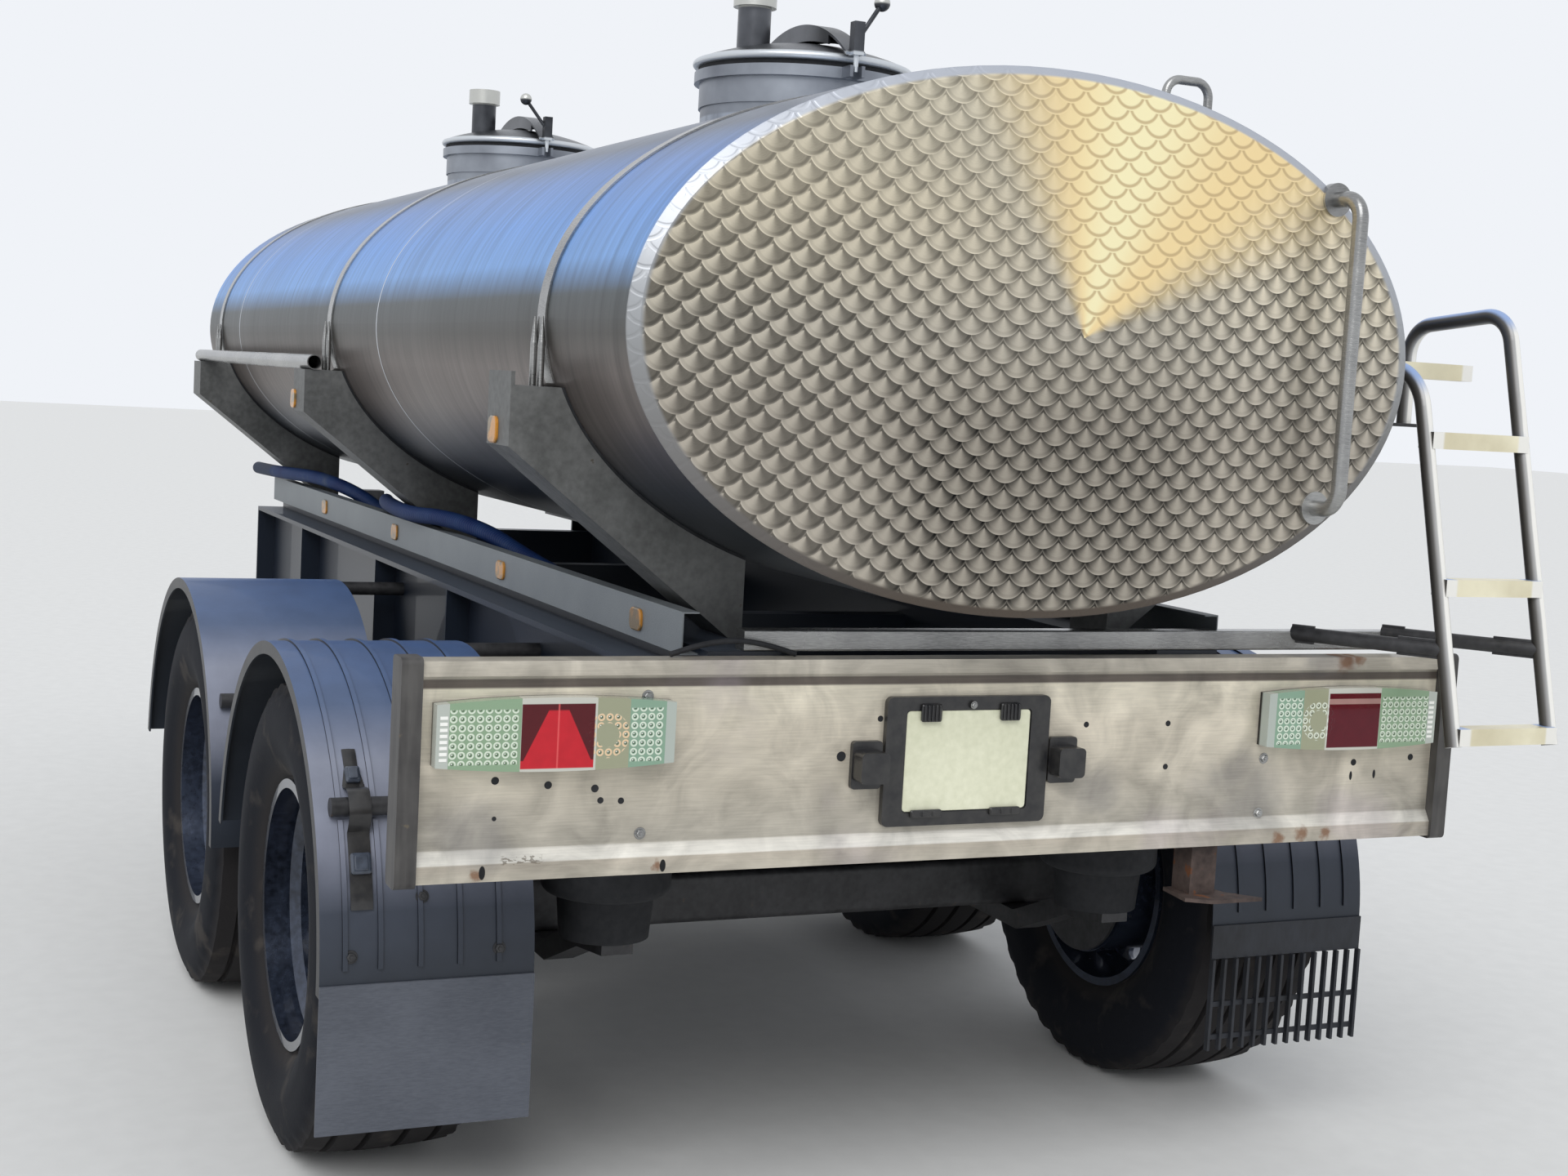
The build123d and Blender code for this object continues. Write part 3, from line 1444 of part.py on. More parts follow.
def make_ladder_mounts(bar, ladder):
    """Two tubes from the cross bar to the legs, and the shelf on the rear saddle."""
    bar_x = rear_face_x + cross_bar_ahead
    leg_x = ladder_x(arm_z)
    front_x = rear_face_x + ladder_hoop_front_ahead
    shelf_outer = ladder_outer_y - 20
    pairs = [(-800.0, ladder_inner_y), (-1050.0, ladder_outer_y)]
    with BuildPart() as mounts:
        for bar_y, leg_y in pairs:
            with BuildLine() as path:
                Line((bar_x + 10, bar_y, arm_z), (leg_x, leg_y, arm_z))
            with BuildSketch(Plane(origin=path.line @ 0, z_dir=path.line % 0)):
                Circle(arm_tube_radius)
            sweep()
            arm_length = sum(edge.length for edge in path.line.edges())
            lugs = [(0, arm_foot_length), (1 - arm_lug_length / arm_length, arm_lug_length)]
            for share, reach in lugs:
                with BuildSketch(Plane(origin=path.line @ share, x_dir=(0, 0, 1), z_dir=path.line % 0)):
                    Rectangle(arm_lug_height, arm_lug_thickness)
                extrude(amount=reach)
        add(bar, mode=Mode.SUBTRACT)
        add(ladder, mode=Mode.SUBTRACT)
        with BuildSketch(Plane.XY.offset(ladder_shelf_z - ladder_shelf_thickness)):
            with Locations((front_x, (shelf_outer - saddle_outer_y) / 2)):
                Rectangle(ladder_shelf_length, -saddle_outer_y - shelf_outer)
        extrude(amount=ladder_shelf_thickness)
    save(mounts.part, "ladder_mounts")


def make_grab_handle(tank):
    """Bent tube with a welded rosette at each foot, both trimmed to the head."""
    reach_x = tank_rear_x - grab_reach
    with BuildPart() as handle:
        with BuildLine() as path:
            FilletPolyline(
                (tank_rear_x, grab_y, grab_bottom_z),
                (reach_x, grab_y, grab_bottom_z),
                (reach_x, grab_y, grab_top_z),
                (tank_rear_x, grab_y, grab_top_z),
                radius=grab_bend,
            )
        with BuildSketch(Plane(origin=path.line @ 0, z_dir=path.line % 0)):
            Circle(grab_radius)
        sweep()
        for height, depth in ((grab_bottom_z, grab_bottom_depth), (grab_top_z, grab_top_depth)):
            with BuildSketch(across(tank_rear_x - depth, height, grab_y)):
                Circle(rosette_radius)
            extrude(amount=depth)
        add(tank, mode=Mode.SUBTRACT)
    save(handle.part, "rear_grab_handle")


def make_loop_handle(tank):
    """Bent tube loop on top of the tank near the rear rim, trimmed to the tank."""
    loop_x = rear_face_x + loop_ahead
    foot_z = tank_centre_z + tank_height(loop_outer_y) - loop_foot_depth
    top_z = tank_centre_z + tank_half_height + loop_top_above_tank
    with BuildPart() as loop:
        with BuildLine() as path:
            FilletPolyline(
                (loop_x, loop_inner_y, foot_z),
                (loop_x, loop_inner_y, top_z),
                (loop_x, loop_outer_y, top_z),
                (loop_x, loop_outer_y, foot_z),
                radius=loop_bend,
            )
        with BuildSketch(Plane(origin=path.line @ 0, z_dir=path.line % 0)):
            Circle(loop_radius)
        sweep()
        add(tank, mode=Mode.SUBTRACT)
    save(loop.part, "tank_loop")


def make_lance_tube():
    z = saddle_shelf_top + lance_tube_radius
    with BuildPart() as tube:
        with BuildSketch(across(rear_face_x + lance_tube_rear_ahead, z, lance_tube_y)):
            Circle(lance_tube_radius)
            Circle(lance_tube_radius - lance_tube_wall, mode=Mode.SUBTRACT)
        extrude(amount=lance_tube_front_ahead - lance_tube_rear_ahead)
    save(tube.part, "lance_tube")


def make_drop_bracket():
    tube_x = rear_face_x + panel_bottom_depth + drop_tube_side / 2
    with BuildPart() as bracket:
        with BuildSketch(Plane.XY.offset(drop_tube_bottom)):
            with Locations((tube_x, drop_tube_y)):
                Rectangle(drop_tube_side, drop_tube_side)
        extrude(amount=frame_bottom - drop_tube_bottom)
        with BuildSketch(Plane.XY.offset(drop_tube_bottom - drop_plate_thickness)):
            with BuildLine():
                Polyline(
                    (tube_x + 40, drop_tube_y - 50),
                    (tube_x + 40, drop_tube_y + 50),
                    (tube_x - 60, drop_tube_y + 62),
                    (tube_x - 92, drop_tube_y + 10),
                    (tube_x - 92, drop_tube_y - 118),
                    (tube_x - 30, drop_tube_y - 60),
                    close=True,
                )
            make_face()
        extrude(amount=drop_plate_thickness)
    save(bracket.part, "drop_bracket")


def hose_path():
    points = [(rear_face_x + ahead, y, z) for ahead, y, z in hose_route]
    radii = []
    for index in range(1, len(points) - 1):
        before = Vector(*points[index]) - Vector(*points[index - 1])
        after = Vector(*points[index + 1]) - Vector(*points[index])
        turn = radians(before.get_angle(after))
        radii.append(0.45 * min(before.length, after.length) / (sin(turn / 2) / cos(turn / 2)))
    return points, radii


def make_hose():
    points, radii = hose_path()
    print("hose bend radii", [round(radius) for radius in radii])
    with BuildPart() as hose:
        with BuildLine() as path:
            FilletPolyline(*points, radius=radii)
        with BuildSketch(Plane(origin=path.line @ 0, z_dir=path.line % 0)):
            Circle(hose_radius)
        sweep()
    length = sum(edge.length for edge in path.line.edges())
    ratio = hose.part.volume / (pi * hose_radius ** 2 * length)
    print("hose length", round(length), "volume ratio", round(ratio, 5))
    save(hose.part, "hose")


for wheel_name, wheel_x, wheel_side in wheels:
    make_tyre(wheel_name, wheel_x, wheel_side)
    make_wheel(wheel_name, wheel_x, wheel_side)
    make_guard(wheel_name, wheel_x, wheel_side)
make_axles()
make_trailing_arms()
make_hangers()
make_air_springs()
make_frame_rails()
make_cross_members()
make_subframe()
make_side_rails()
tank_part = make_tank()
make_seals()
for hole_name, hole_place, lever_lean in manholes:
    make_neck(hole_name, hole_place)
    make_lid(hole_name, hole_place)
    make_bow(hole_name, hole_place, lever_lean)
for saddle_name, saddle_place, saddle_wing in saddles:
    make_saddle(saddle_name, saddle_place, saddle_wing)
make_saddle_pads()
make_straps()
make_panel()
make_end_pieces()
make_lamps()
make_plate_holder()
make_plate_lamps()
cross_bar = make_cross_bar()
make_stays()
make_flap_left()
make_flap_right()
make_drawbar()
make_towing_eye()
make_jack()
ladder_part = make_ladder()
make_ladder_mounts(cross_bar, ladder_part)
make_grab_handle(tank_part)
make_loop_handle(tank_part)
make_lance_tube()
make_drop_bracket()
make_hose()
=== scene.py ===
# %% [markdown]
# # Dressing a tank trailer
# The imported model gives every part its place. This lesson keeps those parts where they are,
# gives each one a finish worked out from its own coordinates, and adds the small real things
# that a plain solid lacks: tread, nuts, reflectors, a number card, the hose, a strap and a cable.
# Everything is in metres, with X forward, Y to the trailer's left and Z up.

# %% Load the frame
import bpy
import bmesh
import math
from mathutils import Matrix, Vector


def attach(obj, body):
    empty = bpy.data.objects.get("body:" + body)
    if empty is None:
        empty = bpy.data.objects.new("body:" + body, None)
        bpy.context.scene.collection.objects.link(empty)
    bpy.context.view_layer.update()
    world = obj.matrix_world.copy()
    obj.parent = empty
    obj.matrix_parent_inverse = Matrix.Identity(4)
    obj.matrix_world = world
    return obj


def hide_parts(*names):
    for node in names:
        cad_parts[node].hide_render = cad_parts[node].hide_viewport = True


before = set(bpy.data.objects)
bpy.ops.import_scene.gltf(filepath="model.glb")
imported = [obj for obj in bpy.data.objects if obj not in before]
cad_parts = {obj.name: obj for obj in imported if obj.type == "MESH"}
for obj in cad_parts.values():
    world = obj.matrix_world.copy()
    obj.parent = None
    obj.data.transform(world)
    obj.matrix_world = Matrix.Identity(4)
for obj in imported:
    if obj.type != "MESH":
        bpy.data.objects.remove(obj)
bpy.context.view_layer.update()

rear_face_x = -3.003


def ahead(distance):
    """X of a place given in metres ahead of the rear panel's face."""
    return distance + rear_face_x


axle_x = {"rear": ahead(0.923), "front": ahead(2.233)}
wheel_side = 1.052
tyre_radius = 0.520
print("axles at", axle_x, "wheels", wheel_side, "from the middle")

# %% [markdown]
# ## Camera
# The photograph was taken from behind and to the left, a little below the top of the tank.
# A long-ish lens keeps the oval head nearly undistorted. Its place and angles came from
# solving the picture's perspective, so they are written as plain numbers and not tuned by eye.

# %% Camera
yaw, pitch, roll = -0.4280, -0.0952, 0.0554
look = Vector((math.cos(pitch) * math.cos(yaw), math.cos(pitch) * math.sin(yaw), math.sin(pitch)))
level_right = Vector((math.sin(yaw), -math.cos(yaw), 0))
level_up = level_right.cross(look)
right = math.cos(roll) * level_right + math.sin(roll) * level_up
up = -math.sin(roll) * level_right + math.cos(roll) * level_up
lens = bpy.data.cameras.new("photo_camera")
lens.sensor_fit = "HORIZONTAL"
lens.sensor_width = 36
lens.lens = 47.78
lens.shift_x = -0.0003
lens.shift_y = -0.0021
lens.clip_end = 200
camera = bpy.data.objects.new("photo_camera", lens)
turn = Matrix((right, up, -look)).transposed().to_4x4()
camera.matrix_world = Matrix.Translation((-6.6227, 2.1196, 1.7426)) @ turn
bpy.context.scene.collection.objects.link(camera)
bpy.context.scene.camera = camera
bpy.context.scene.view_settings.view_transform = "Standard"
print("camera looks along", [round(part, 3) for part in look])

# %% [markdown]
# ## Hose
# A stiff ribbed suction hose lies along the side rail and dips in between the saddles. A smooth
# spline through a few loose control points gives the slack line that rubber takes. Straight
# runs with rounded corners would look like bent pipe, so no corner is rounded by hand.

# %% Hose line
hose_radius = 0.0225
hose_points = [
    (4.500, 0.660, 1.319), (4.250, 0.650, 1.321), (3.930, 0.640, 1.330), (3.600, 0.610, 1.338),
    (3.310, 0.546, 1.308), (3.080, 0.506, 1.256), (2.880, 0.522, 1.262), (2.710, 0.594, 1.328),
    (2.470, 0.646, 1.330), (2.190, 0.648, 1.320), (1.930, 0.618, 1.334), (1.690, 0.560, 1.314),
    (1.480, 0.522, 1.268), (1.285, 0.510, 1.248),
]
hose_line = bpy.data.curves.new("hose_line", "CURVE")
hose_line.dimensions = "3D"
hose_line.bevel_depth = 1.0
hose_line.bevel_resolution = 8
hose_line.resolution_u = 12
hose_line.use_fill_caps = True
spline = hose_line.splines.new("NURBS")
spline.points.add(len(hose_points) - 1)
for point, (along, side, height) in zip(spline.points, hose_points):
    point.co = (ahead(along), side, height, 1)
    point.radius = hose_radius
spline.order_u = 3
spline.use_endpoint_u = True
hose = bpy.data.objects.new("suction_hose", hose_line)
bpy.context.scene.collection.objects.link(hose)
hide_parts("hose")
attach(hose, "trailer")
print("hose control points", len(hose_points))

# %% [markdown]
# ## Floor, sky and light
# A studio needs only a pale floor and even light. The world lights from all round, and one very
# soft sun from behind and to the left gives shapes a lit side. Their sum is about one, so a
# colour comes out near the value it is written with. Steel mirrors its surroundings, so rays
# that reach the sky straight or by a mirror see it at full strength.

# %% Shader helper
class Wire:
    """One socket of a material's nodes, with arithmetic."""

    def __init__(self, tree, socket):
        self.tree = tree
        self.socket = socket

    def add(self, kind, settings=None, inputs=None, output=0):
        """Adds a node: its type, its settings first, then its inputs as values or wires."""
        node = self.tree.nodes.new("ShaderNode" + kind)
        for key, value in (settings or {}).items():
            if key == "stops":
                ramp = node.color_ramp
                ramp.elements.remove(ramp.elements[1])
                for index, (place, colour) in enumerate(value):
                    stop = ramp.elements[0] if index == 0 else ramp.elements.new(place)
                    stop.position = place
                    stop.color = colour
            elif key == "steps":
                node.color_ramp.interpolation = "CONSTANT" if value else "LINEAR"
            else:
                setattr(node, key, value)
        for key, value in (inputs or {}).items():
            if isinstance(value, Wire):
                self.tree.links.new(value.socket, node.inputs[key])
            else:
                node.inputs[key].default_value = value
        return Wire(self.tree, node.outputs[output])

    def maths(self, operation, first, *others):
        values = {index: value for index, value in enumerate((first,) + others)}
        return self.add("Math", {"operation": operation}, values)

    def __add__(self, other):
        return self.maths("ADD", self, other)

    __radd__ = __add__

    def __sub__(self, other):
        return self.maths("SUBTRACT", self, other)

    def __rsub__(self, other):
        return self.maths("SUBTRACT", other, self)

    def __mul__(self, other):
        return self.maths("MULTIPLY", self, other)

    def __truediv__(self, other):
        return self.maths("DIVIDE", self, other)

    def __abs__(self):
        return self.maths("ABSOLUTE", self)

    def __pow__(self, other):
        return self.maths("POWER", self, other)


def tone(red, green, blue):
    """A colour as read from a picture, turned into the linear values a shader takes."""
    linear = []
    for part in (red, green, blue):
        part = part / 255
        linear.append(part / 12.92 if part <= 0.04045 else ((part + 0.055) / 1.055) ** 2.4)
    return (*linear, 1)


def soft_step(wire, low, high):
    """0 below low and 1 above high, smooth between. The node turns it round for swapped ends."""
    ends = {0: wire, 1: low, 2: high, 3: 0, 4: 1}
    return wire.add("MapRange", {"interpolation_type": "SMOOTHSTEP"}, ends)


def near(wire, middle, half, edge):
    """1 within half of middle, falling to 0 over edge."""
    return soft_step(abs(wire - middle), half + edge, half)


def blend(mask, under, over):
    """Colour under where the mask is 0 and over where it is 1."""
    return mask.add("Mix", {"data_type": "RGBA"}, {0: mask, 6: under, 7: over}, 2)


def shaded(wire, stops, steps=False):
    """A colour picked by a number from 0 to 1."""
    return wire.add("ValToRGB", {"steps": steps, "stops": stops}, {0: wire})


def highest(masks):
    """1 where any of the masks is 1."""
    top = masks[0]
    for mask in masks[1:]:
        top = top.maths("MAXIMUM", top, mask)
    return top


def darkened(colour, amount):
    """A colour times a number wire."""
    return amount.add("VectorMath", {"operation": "SCALE"}, {0: colour, 3: amount})


def noise(place, scale, detail=3.0, stretch=(1, 1, 1)):
    """Cloudy noise, with its grain stretched along an axis where stretch is small."""
    spread = place.add("VectorMath", {"operation": "MULTIPLY"}, {0: place, 1: stretch})
    return place.add("TexNoise", None, {"Vector": spread, "Scale": scale, "Detail": detail})


def split(place):
    """X, Y and Z of a place as three wires."""
    return [place.add("SeparateXYZ", None, {0: place}, index) for index in range(3)]


def facing(place):
    """X, Y and Z of the direction that the surface faces, as three wires."""
    return split(place.add("TexCoord", None, None, 1))


def new_finish(name):
    """An empty material, its shader, and the place on the part as a wire."""
    made = bpy.data.materials.new(name)
    made.use_nodes = True
    tree = made.node_tree
    place = Wire(tree, tree.nodes.new("ShaderNodeTexCoord").outputs["Object"])
    return made, tree.nodes["Principled BSDF"], place


def feed(shader, place, bump=None, bump_distance=0.001, **sockets):
    """Sets or links the shader's sockets. Underscores in the names stand for spaces."""
    for key, value in sockets.items():
        socket = shader.inputs[key.replace("_", " ")]
        if isinstance(value, Wire):
            place.tree.links.new(value.socket, socket)
        else:
            socket.default_value = value
    if bump is not None:
        raised = place.add("Bump", None, {"Height": bump, "Distance": bump_distance, "Strength": 0.6})
        place.tree.links.new(raised.socket, shader.inputs["Normal"])


print("shader helpers ready")

# %% Floor and sky
floor_mesh = bpy.data.meshes.new("floor")
floor_mesh.from_pydata([(-60, -60, 0), (60, -60, 0), (60, 60, 0), (-60, 60, 0)], [], [(0, 1, 2, 3)])
floor = bpy.data.objects.new("floor", floor_mesh)
bpy.context.scene.collection.objects.link(floor)
floor_finish, floor_shader, floor_place = new_finish("pale_floor")
floor_colour = shaded(noise(floor_place, 14.0), [(0.3, tone(226, 226, 224)), (0.7, tone(230, 230, 228))])
feed(floor_shader, floor_place, Roughness=0.9, Base_Color=floor_colour)
floor_mesh.materials.append(floor_finish)

sky = bpy.data.worlds.new("studio")
bpy.context.scene.world = sky
sky.use_nodes = True
seen = Wire(sky.node_tree, None)
direct = seen.add("LightPath", output="Is Camera Ray") + seen.add("LightPath", output="Is Glossy Ray")
direct = direct + seen.add("LightPath", output="Is Transmission Ray")
ambient = 0.70
sky_strength = direct.maths("MINIMUM", direct, 1) * (1 - ambient) + ambient
background = sky.node_tree.nodes["Background"]
background.inputs["Color"].default_value = tone(240, 243, 248)
sky.node_tree.links.new(sky_strength.socket, background.inputs["Strength"])

sun = bpy.data.lights.new("soft_sun", "SUN")
sun.energy = 1.5
sun.angle = 0.7
sun_object = bpy.data.objects.new("soft_sun", sun)
sun_object.rotation_euler = Vector((0.62, -0.42, -0.70)).to_track_quat("-Z", "Y").to_euler()
bpy.context.scene.collection.objects.link(sun_object)
print("world strength", ambient, "sun", sun.energy)

# %% [markdown]
# ## Tank steel
# The barrel is brushed stainless sheet, and each head is covered in swirled discs, struck row by
# row with a turning pad so that every disc overlaps the one below it. An image could hold that,
# but it would blur up close. Here each point finds the disc on top of it by arithmetic: two sets
# of rows, each half a pitch aside from the other, and the higher centre wins. Round scratches
# shine in a wedge, so each disc gets a painted highlight wedge, set by the angle about its centre,
# with a painted bright edge and a painted shadow line just inside that edge.

# %% Swirled head
disc_pitch = 0.067
row_height = 0.025
disc_radius = 0.038
tank_middle = 1.844
tank_half_width, tank_half_height = 0.868, 0.526


def disc_under(across_head, height, shift, row_start):
    """Sideways distance from the topmost disc of one set of rows, and that disc's height."""
    column = across_head.maths("FLOOR", across_head / disc_pitch + 0.5 - shift) + shift
    sideways = across_head - column * disc_pitch
    left_over = disc_radius ** 2 - sideways * sideways
    reach = left_over.maths("SQRT", left_over.maths("MAXIMUM", left_over, 0))
    step = 2 * row_height
    row = across_head.maths("FLOOR", (height + reach - row_start) / step) * step + row_start
    return sideways, row


def swirled(place):
    """Painted highlight and edge shade of the discs, the painted warm reflection fan above the tip, and
    the place on the head.
    """
    x, y, z = split(place)
    across_head = y * -1
    height = z - tank_middle
    even_side, even_row = disc_under(across_head, height, 0.0, 0.0)
    odd_side, odd_row = disc_under(across_head, height, 0.5, row_height)
    odd_on_top = x.maths("GREATER_THAN", odd_row, even_row)
    sideways = even_side + odd_on_top * (odd_side - even_side)
    row = x.maths("MAXIMUM", odd_row, even_row)
    upward = height - row
    from_middle = x.maths("SQRT", sideways * sideways + upward * upward)
    wobble = noise(place, 9.0, 2.0) - 0.5
    lean = soft_step(across_head, 0.05, -0.75) * -0.95 + wobble * 0.5
    angle = x.maths("ARCTAN2", sideways, upward * -1) - lean
    # Painted highlight: each disc is bright in a wedge set by the angle about its centre.
    wedge_highlight = x.maths("MAXIMUM", x.maths("COSINE", angle), 0) ** 3
    # A thin painted highlight along each disc's edge, and a painted shadow line just inside it.
    inside = disc_radius - from_middle
    rim_light = soft_step(inside, 0.0030, 0.0008)
    rim_shadow = near(inside, 0.0055, 0.0010, 0.0040)
    round_disc = place.add("CombineXYZ", None, {0: from_middle * 900, 1: angle * 2, 2: row * 40})
    scratches = noise(round_disc, 1.0, 1.0)
    # A painted warm reflection fans out above the tip, with a brighter painted core.
    fan_angle = x.maths("ARCTAN2", across_head - 0.041, height - 0.02)
    reflection_fan = soft_step(fan_angle, -0.60, 0.02) * soft_step(fan_angle, 1.30, 0.85)
    fan_core_highlight = soft_step(abs(fan_angle - 0.30), 0.50, 0.05)
    return wedge_highlight, rim_light, rim_shadow, scratches, reflection_fan, fan_core_highlight, height, across_head


steel_finish, steel_shader, steel_place = new_finish("tank_steel")
steel_x, steel_y, steel_z = split(steel_place)
wedge_highlight, rim_light, rim_shadow, scratches, reflection_fan, fan_core_highlight, head_height, head_across = swirled(steel_place)
# The head's colour is painted lighter toward the top and darker toward the bottom.
head_light_by_height = shaded(head_height + 0.5, [
    (0.0, tone(136, 130, 120)), (0.35, tone(130, 124, 114)), (0.52, tone(146, 140, 128)),
    (0.75, tone(180, 171, 151)), (1.0, tone(192, 184, 164)),
])
fan_reflection_colour = blend(fan_core_highlight, tone(250, 224, 168), tone(255, 244, 196))
fan_reflection_colour = blend(rim_shadow * 0.75, fan_reflection_colour, tone(196, 170, 126))
# depth darkens the discs and strengthens their painted highlights low down and to the right.
depth = soft_step(head_height, 0.40, -0.10) * 0.7 + soft_step(head_across, 0.20, 0.50) * 0.45
depth = steel_x.maths("MINIMUM", depth, 1)
swirl_light_level = 0.70 - depth * 0.34 + wedge_highlight * (0.62 + depth * 1.28)
# A painted lighter patch low on the left, and a painted shade just below the tip.
low_left_highlight = soft_step(head_across, -0.15, -0.55) * soft_step(head_height, 0.10, -0.20)
below_tip_shade = near(head_across, 0.0, 0.20, 0.25) * soft_step(head_height, 0.0, -0.25)
swirl_light_level = swirl_light_level + low_left_highlight * 0.22 - below_tip_shade * 0.30
swirl_light_level = swirl_light_level + rim_light * 0.30 - rim_shadow * 0.20 + (scratches - 0.5) * 0.26
head_colour = blend(reflection_fan, darkened(head_light_by_height, swirl_light_level), fan_reflection_colour)
oval = (steel_y / tank_half_width) ** 2 + (head_height / tank_half_height) ** 2
oval = steel_x.maths("SQRT", oval)
# The rim band is painted dark at the bottom and light at the top.
rim_band_light_and_shade = shaded(head_height + 0.5, [
    (0.0, tone(94, 85, 77)), (0.5, tone(160, 162, 164)), (1.0, tone(184, 188, 196)),
])
head_colour = blend(soft_step(oval, 0.962, 0.975), head_colour, rim_band_light_and_shade)
print("disc pitch", disc_pitch, "rows", row_height)

# %% [markdown]
# Round the barrel, polished steel shows a band of sky above and a dark band below. Only part of
# that is paint here, a painted sky reflection above and painted shade below: the colours follow
# the angle round the oval, because a pale studio has no dark ground to mirror. They are tied to
# the part and not to the camera, so they stay put.
# Two faint ring welds, read from the photograph, show where the courses of plate meet.

# %% Brushed barrel
barrel_up, barrel_out = head_height / tank_half_height, abs(steel_y) / tank_half_width
barrel_angle = steel_x.maths("ARCTAN2", barrel_up, barrel_out) / math.pi + 0.5
# Painted reflection and shade by the angle round the oval: dark low down, a warm band, then a blue sky
# reflection above the middle, paler at the top.
barrel_colour = shaded(barrel_angle, [
    (0.00, tone(44, 50, 58)), (0.25, tone(48, 53, 60)), (0.30, tone(66, 70, 78)),
    (0.38, tone(114, 106, 102)), (0.44, tone(116, 108, 104)), (0.485, tone(72, 70, 66)),
    (0.53, tone(74, 80, 82)), (0.572, tone(118, 162, 216)), (0.63, tone(108, 154, 216)),
    (0.70, tone(106, 140, 196)), (0.767, tone(104, 112, 128)), (0.86, tone(142, 146, 155)),
    (1.00, tone(168, 178, 192)),
])
grain = noise(steel_place, 5.0, 5.0, (46, 2, 2))
cloud = noise(steel_place, 2.2, 4.0)
bands = noise(steel_place, 5.0, 4.0, (9, 0.4, 0.4))
barrel_colour = darkened(barrel_colour, 0.27 + grain * 0.34 + cloud * 0.22 + bands * 0.92)
seam_places = (1.746, 3.790)
seams = highest([near(steel_x, ahead(seam), 0.002, 0.003) for seam in seam_places])
barrel_colour = blend(seams, barrel_colour, tone(214, 218, 224))
on_head = soft_step(steel_x, ahead(-0.140), ahead(-0.148))
neck_cloud = noise(steel_place, 6.0, 4.0)
neck_colour = shaded(neck_cloud, [(0.3, tone(118, 122, 130)), (0.7, tone(158, 163, 171))])
on_neck = soft_step(steel_z, 2.372, 2.378)
steel_colour = blend(on_head, blend(on_neck, barrel_colour, neck_colour), head_colour)
steel_bump = grain * 0.3 + seams * 2 + on_head * (wedge_highlight * 0.4 - rim_shadow)
feed(
    steel_shader, steel_place, bump=steel_bump, bump_distance=0.0006,
    Base_Color=steel_colour, Metallic=0.72, Roughness=0.34 + cloud * 0.12,
)
print("seams", len(seam_places))

# %% [markdown]
# ## The other metals, paints and rubbers
# Each finish is two shades mixed by cloudy noise, then the marks that its surface really has:
# streaks on brushed sheet, crystals on zinc, dust on what faces up, rust at edges. The dark paints
# also get a painted blue-grey sky sheen on what faces up, mixed with that dust. One function
# would make them all alike, so it only makes the shared part and each finish adds its own.

# %% Plain worn finishes
def worn(name, dark, light, metallic, rough, scale=7.0, stretch=(1, 1, 1), bump_distance=0.0005,
         spots=None, spot_scale=30.0, spot_level=0.66, coat=0.0):
    """A finish of two shades with fine grain, and spots of a third where the noise is high."""
    made, shader, place = new_finish(name)
    patches = noise(place, scale, 5.0)
    fine = noise(place, 60.0, 3.0, stretch)
    colour = shaded(patches * 0.6 + fine * 0.4, [(0.36, tone(*dark)), (0.64, tone(*light))])
    roughness = rough + (patches - 0.5) * 0.25
    if spots:
        spotted = soft_step(noise(place, spot_scale, 6.0), spot_level, spot_level + 0.06)
        colour = blend(spotted, colour, tone(*spots))
        roughness = roughness + spotted * 0.2
    feed(
        shader, place, bump=fine + patches, bump_distance=bump_distance,
        Base_Color=colour, Metallic=metallic, Roughness=roughness, Coat_Weight=coat,
    )
    return made


def dusty_with_sky_sheen(name, below, above, rough, coat=0.0):
    """Dark paint or plastic with dust and a painted blue-grey sky sheen on what faces up."""
    made, shader, place = new_finish(name)
    upward = facing(place)[2]
    # What faces up gets dust and a painted blue-grey sky sheen together.
    dust_and_sheen = soft_step(upward + (noise(place, 12.0, 5.0) - 0.5) * 0.7, 0.1, 1.0)
    fine = noise(place, 120.0, 4.0)
    feed(
        shader, place, bump=fine, bump_distance=0.0004,
        Base_Color=darkened(blend(dust_and_sheen, tone(*below), tone(*above)), 0.85 + fine * 0.3),
        Metallic=0.0, Roughness=rough + dust_and_sheen * 0.2, Coat_Weight=coat,
    )
    return made


brushed_tube = worn("brushed_tube", (122, 122, 122), (178, 178, 176), 0.85, 0.26, 4.0, (1, 1, 20))
zinc = worn(
    "zinc_steel", (88, 89, 88), (118, 119, 118), 0.35, 0.56, 5.0,
    spots=(88, 80, 70), spot_level=0.70,
)
rail_zinc = worn(
    "rail_zinc", (116, 122, 126), (138, 143, 146), 0.3, 0.50, 5.0, (2, 20, 20),
    spots=(124, 96, 66), spot_level=0.74,
)
black_steel = worn(
    "black_steel", (34, 34, 36), (62, 62, 64), 0.1, 0.5, 12.0,
    spots=(88, 70, 56), spot_level=0.68,
)
navy_paint = dusty_with_sky_sheen("chassis_paint", (18, 27, 40), (58, 66, 78), 0.42, 0.15)
flap_rubber = worn(
    "flap_rubber", (76, 80, 89), (92, 96, 105), 0.0, 0.75, 6.0, (1, 1, 6),
    spots=(104, 104, 102), spot_level=0.72,
)
soft_rubber = worn("black_rubber", (20, 22, 26), (42, 43, 46), 0.0, 0.82, 16.0)
rust = worn(
    "rusty_steel", (60, 50, 48), (98, 84, 78), 0.3, 0.70, 12.0,
    spots=(122, 78, 52), spot_level=0.62, bump_distance=0.0010,
)
forged = worn("forged_steel", (52, 50, 48), (92, 88, 84), 0.6, 0.5, 20.0, spots=(112, 72, 46))
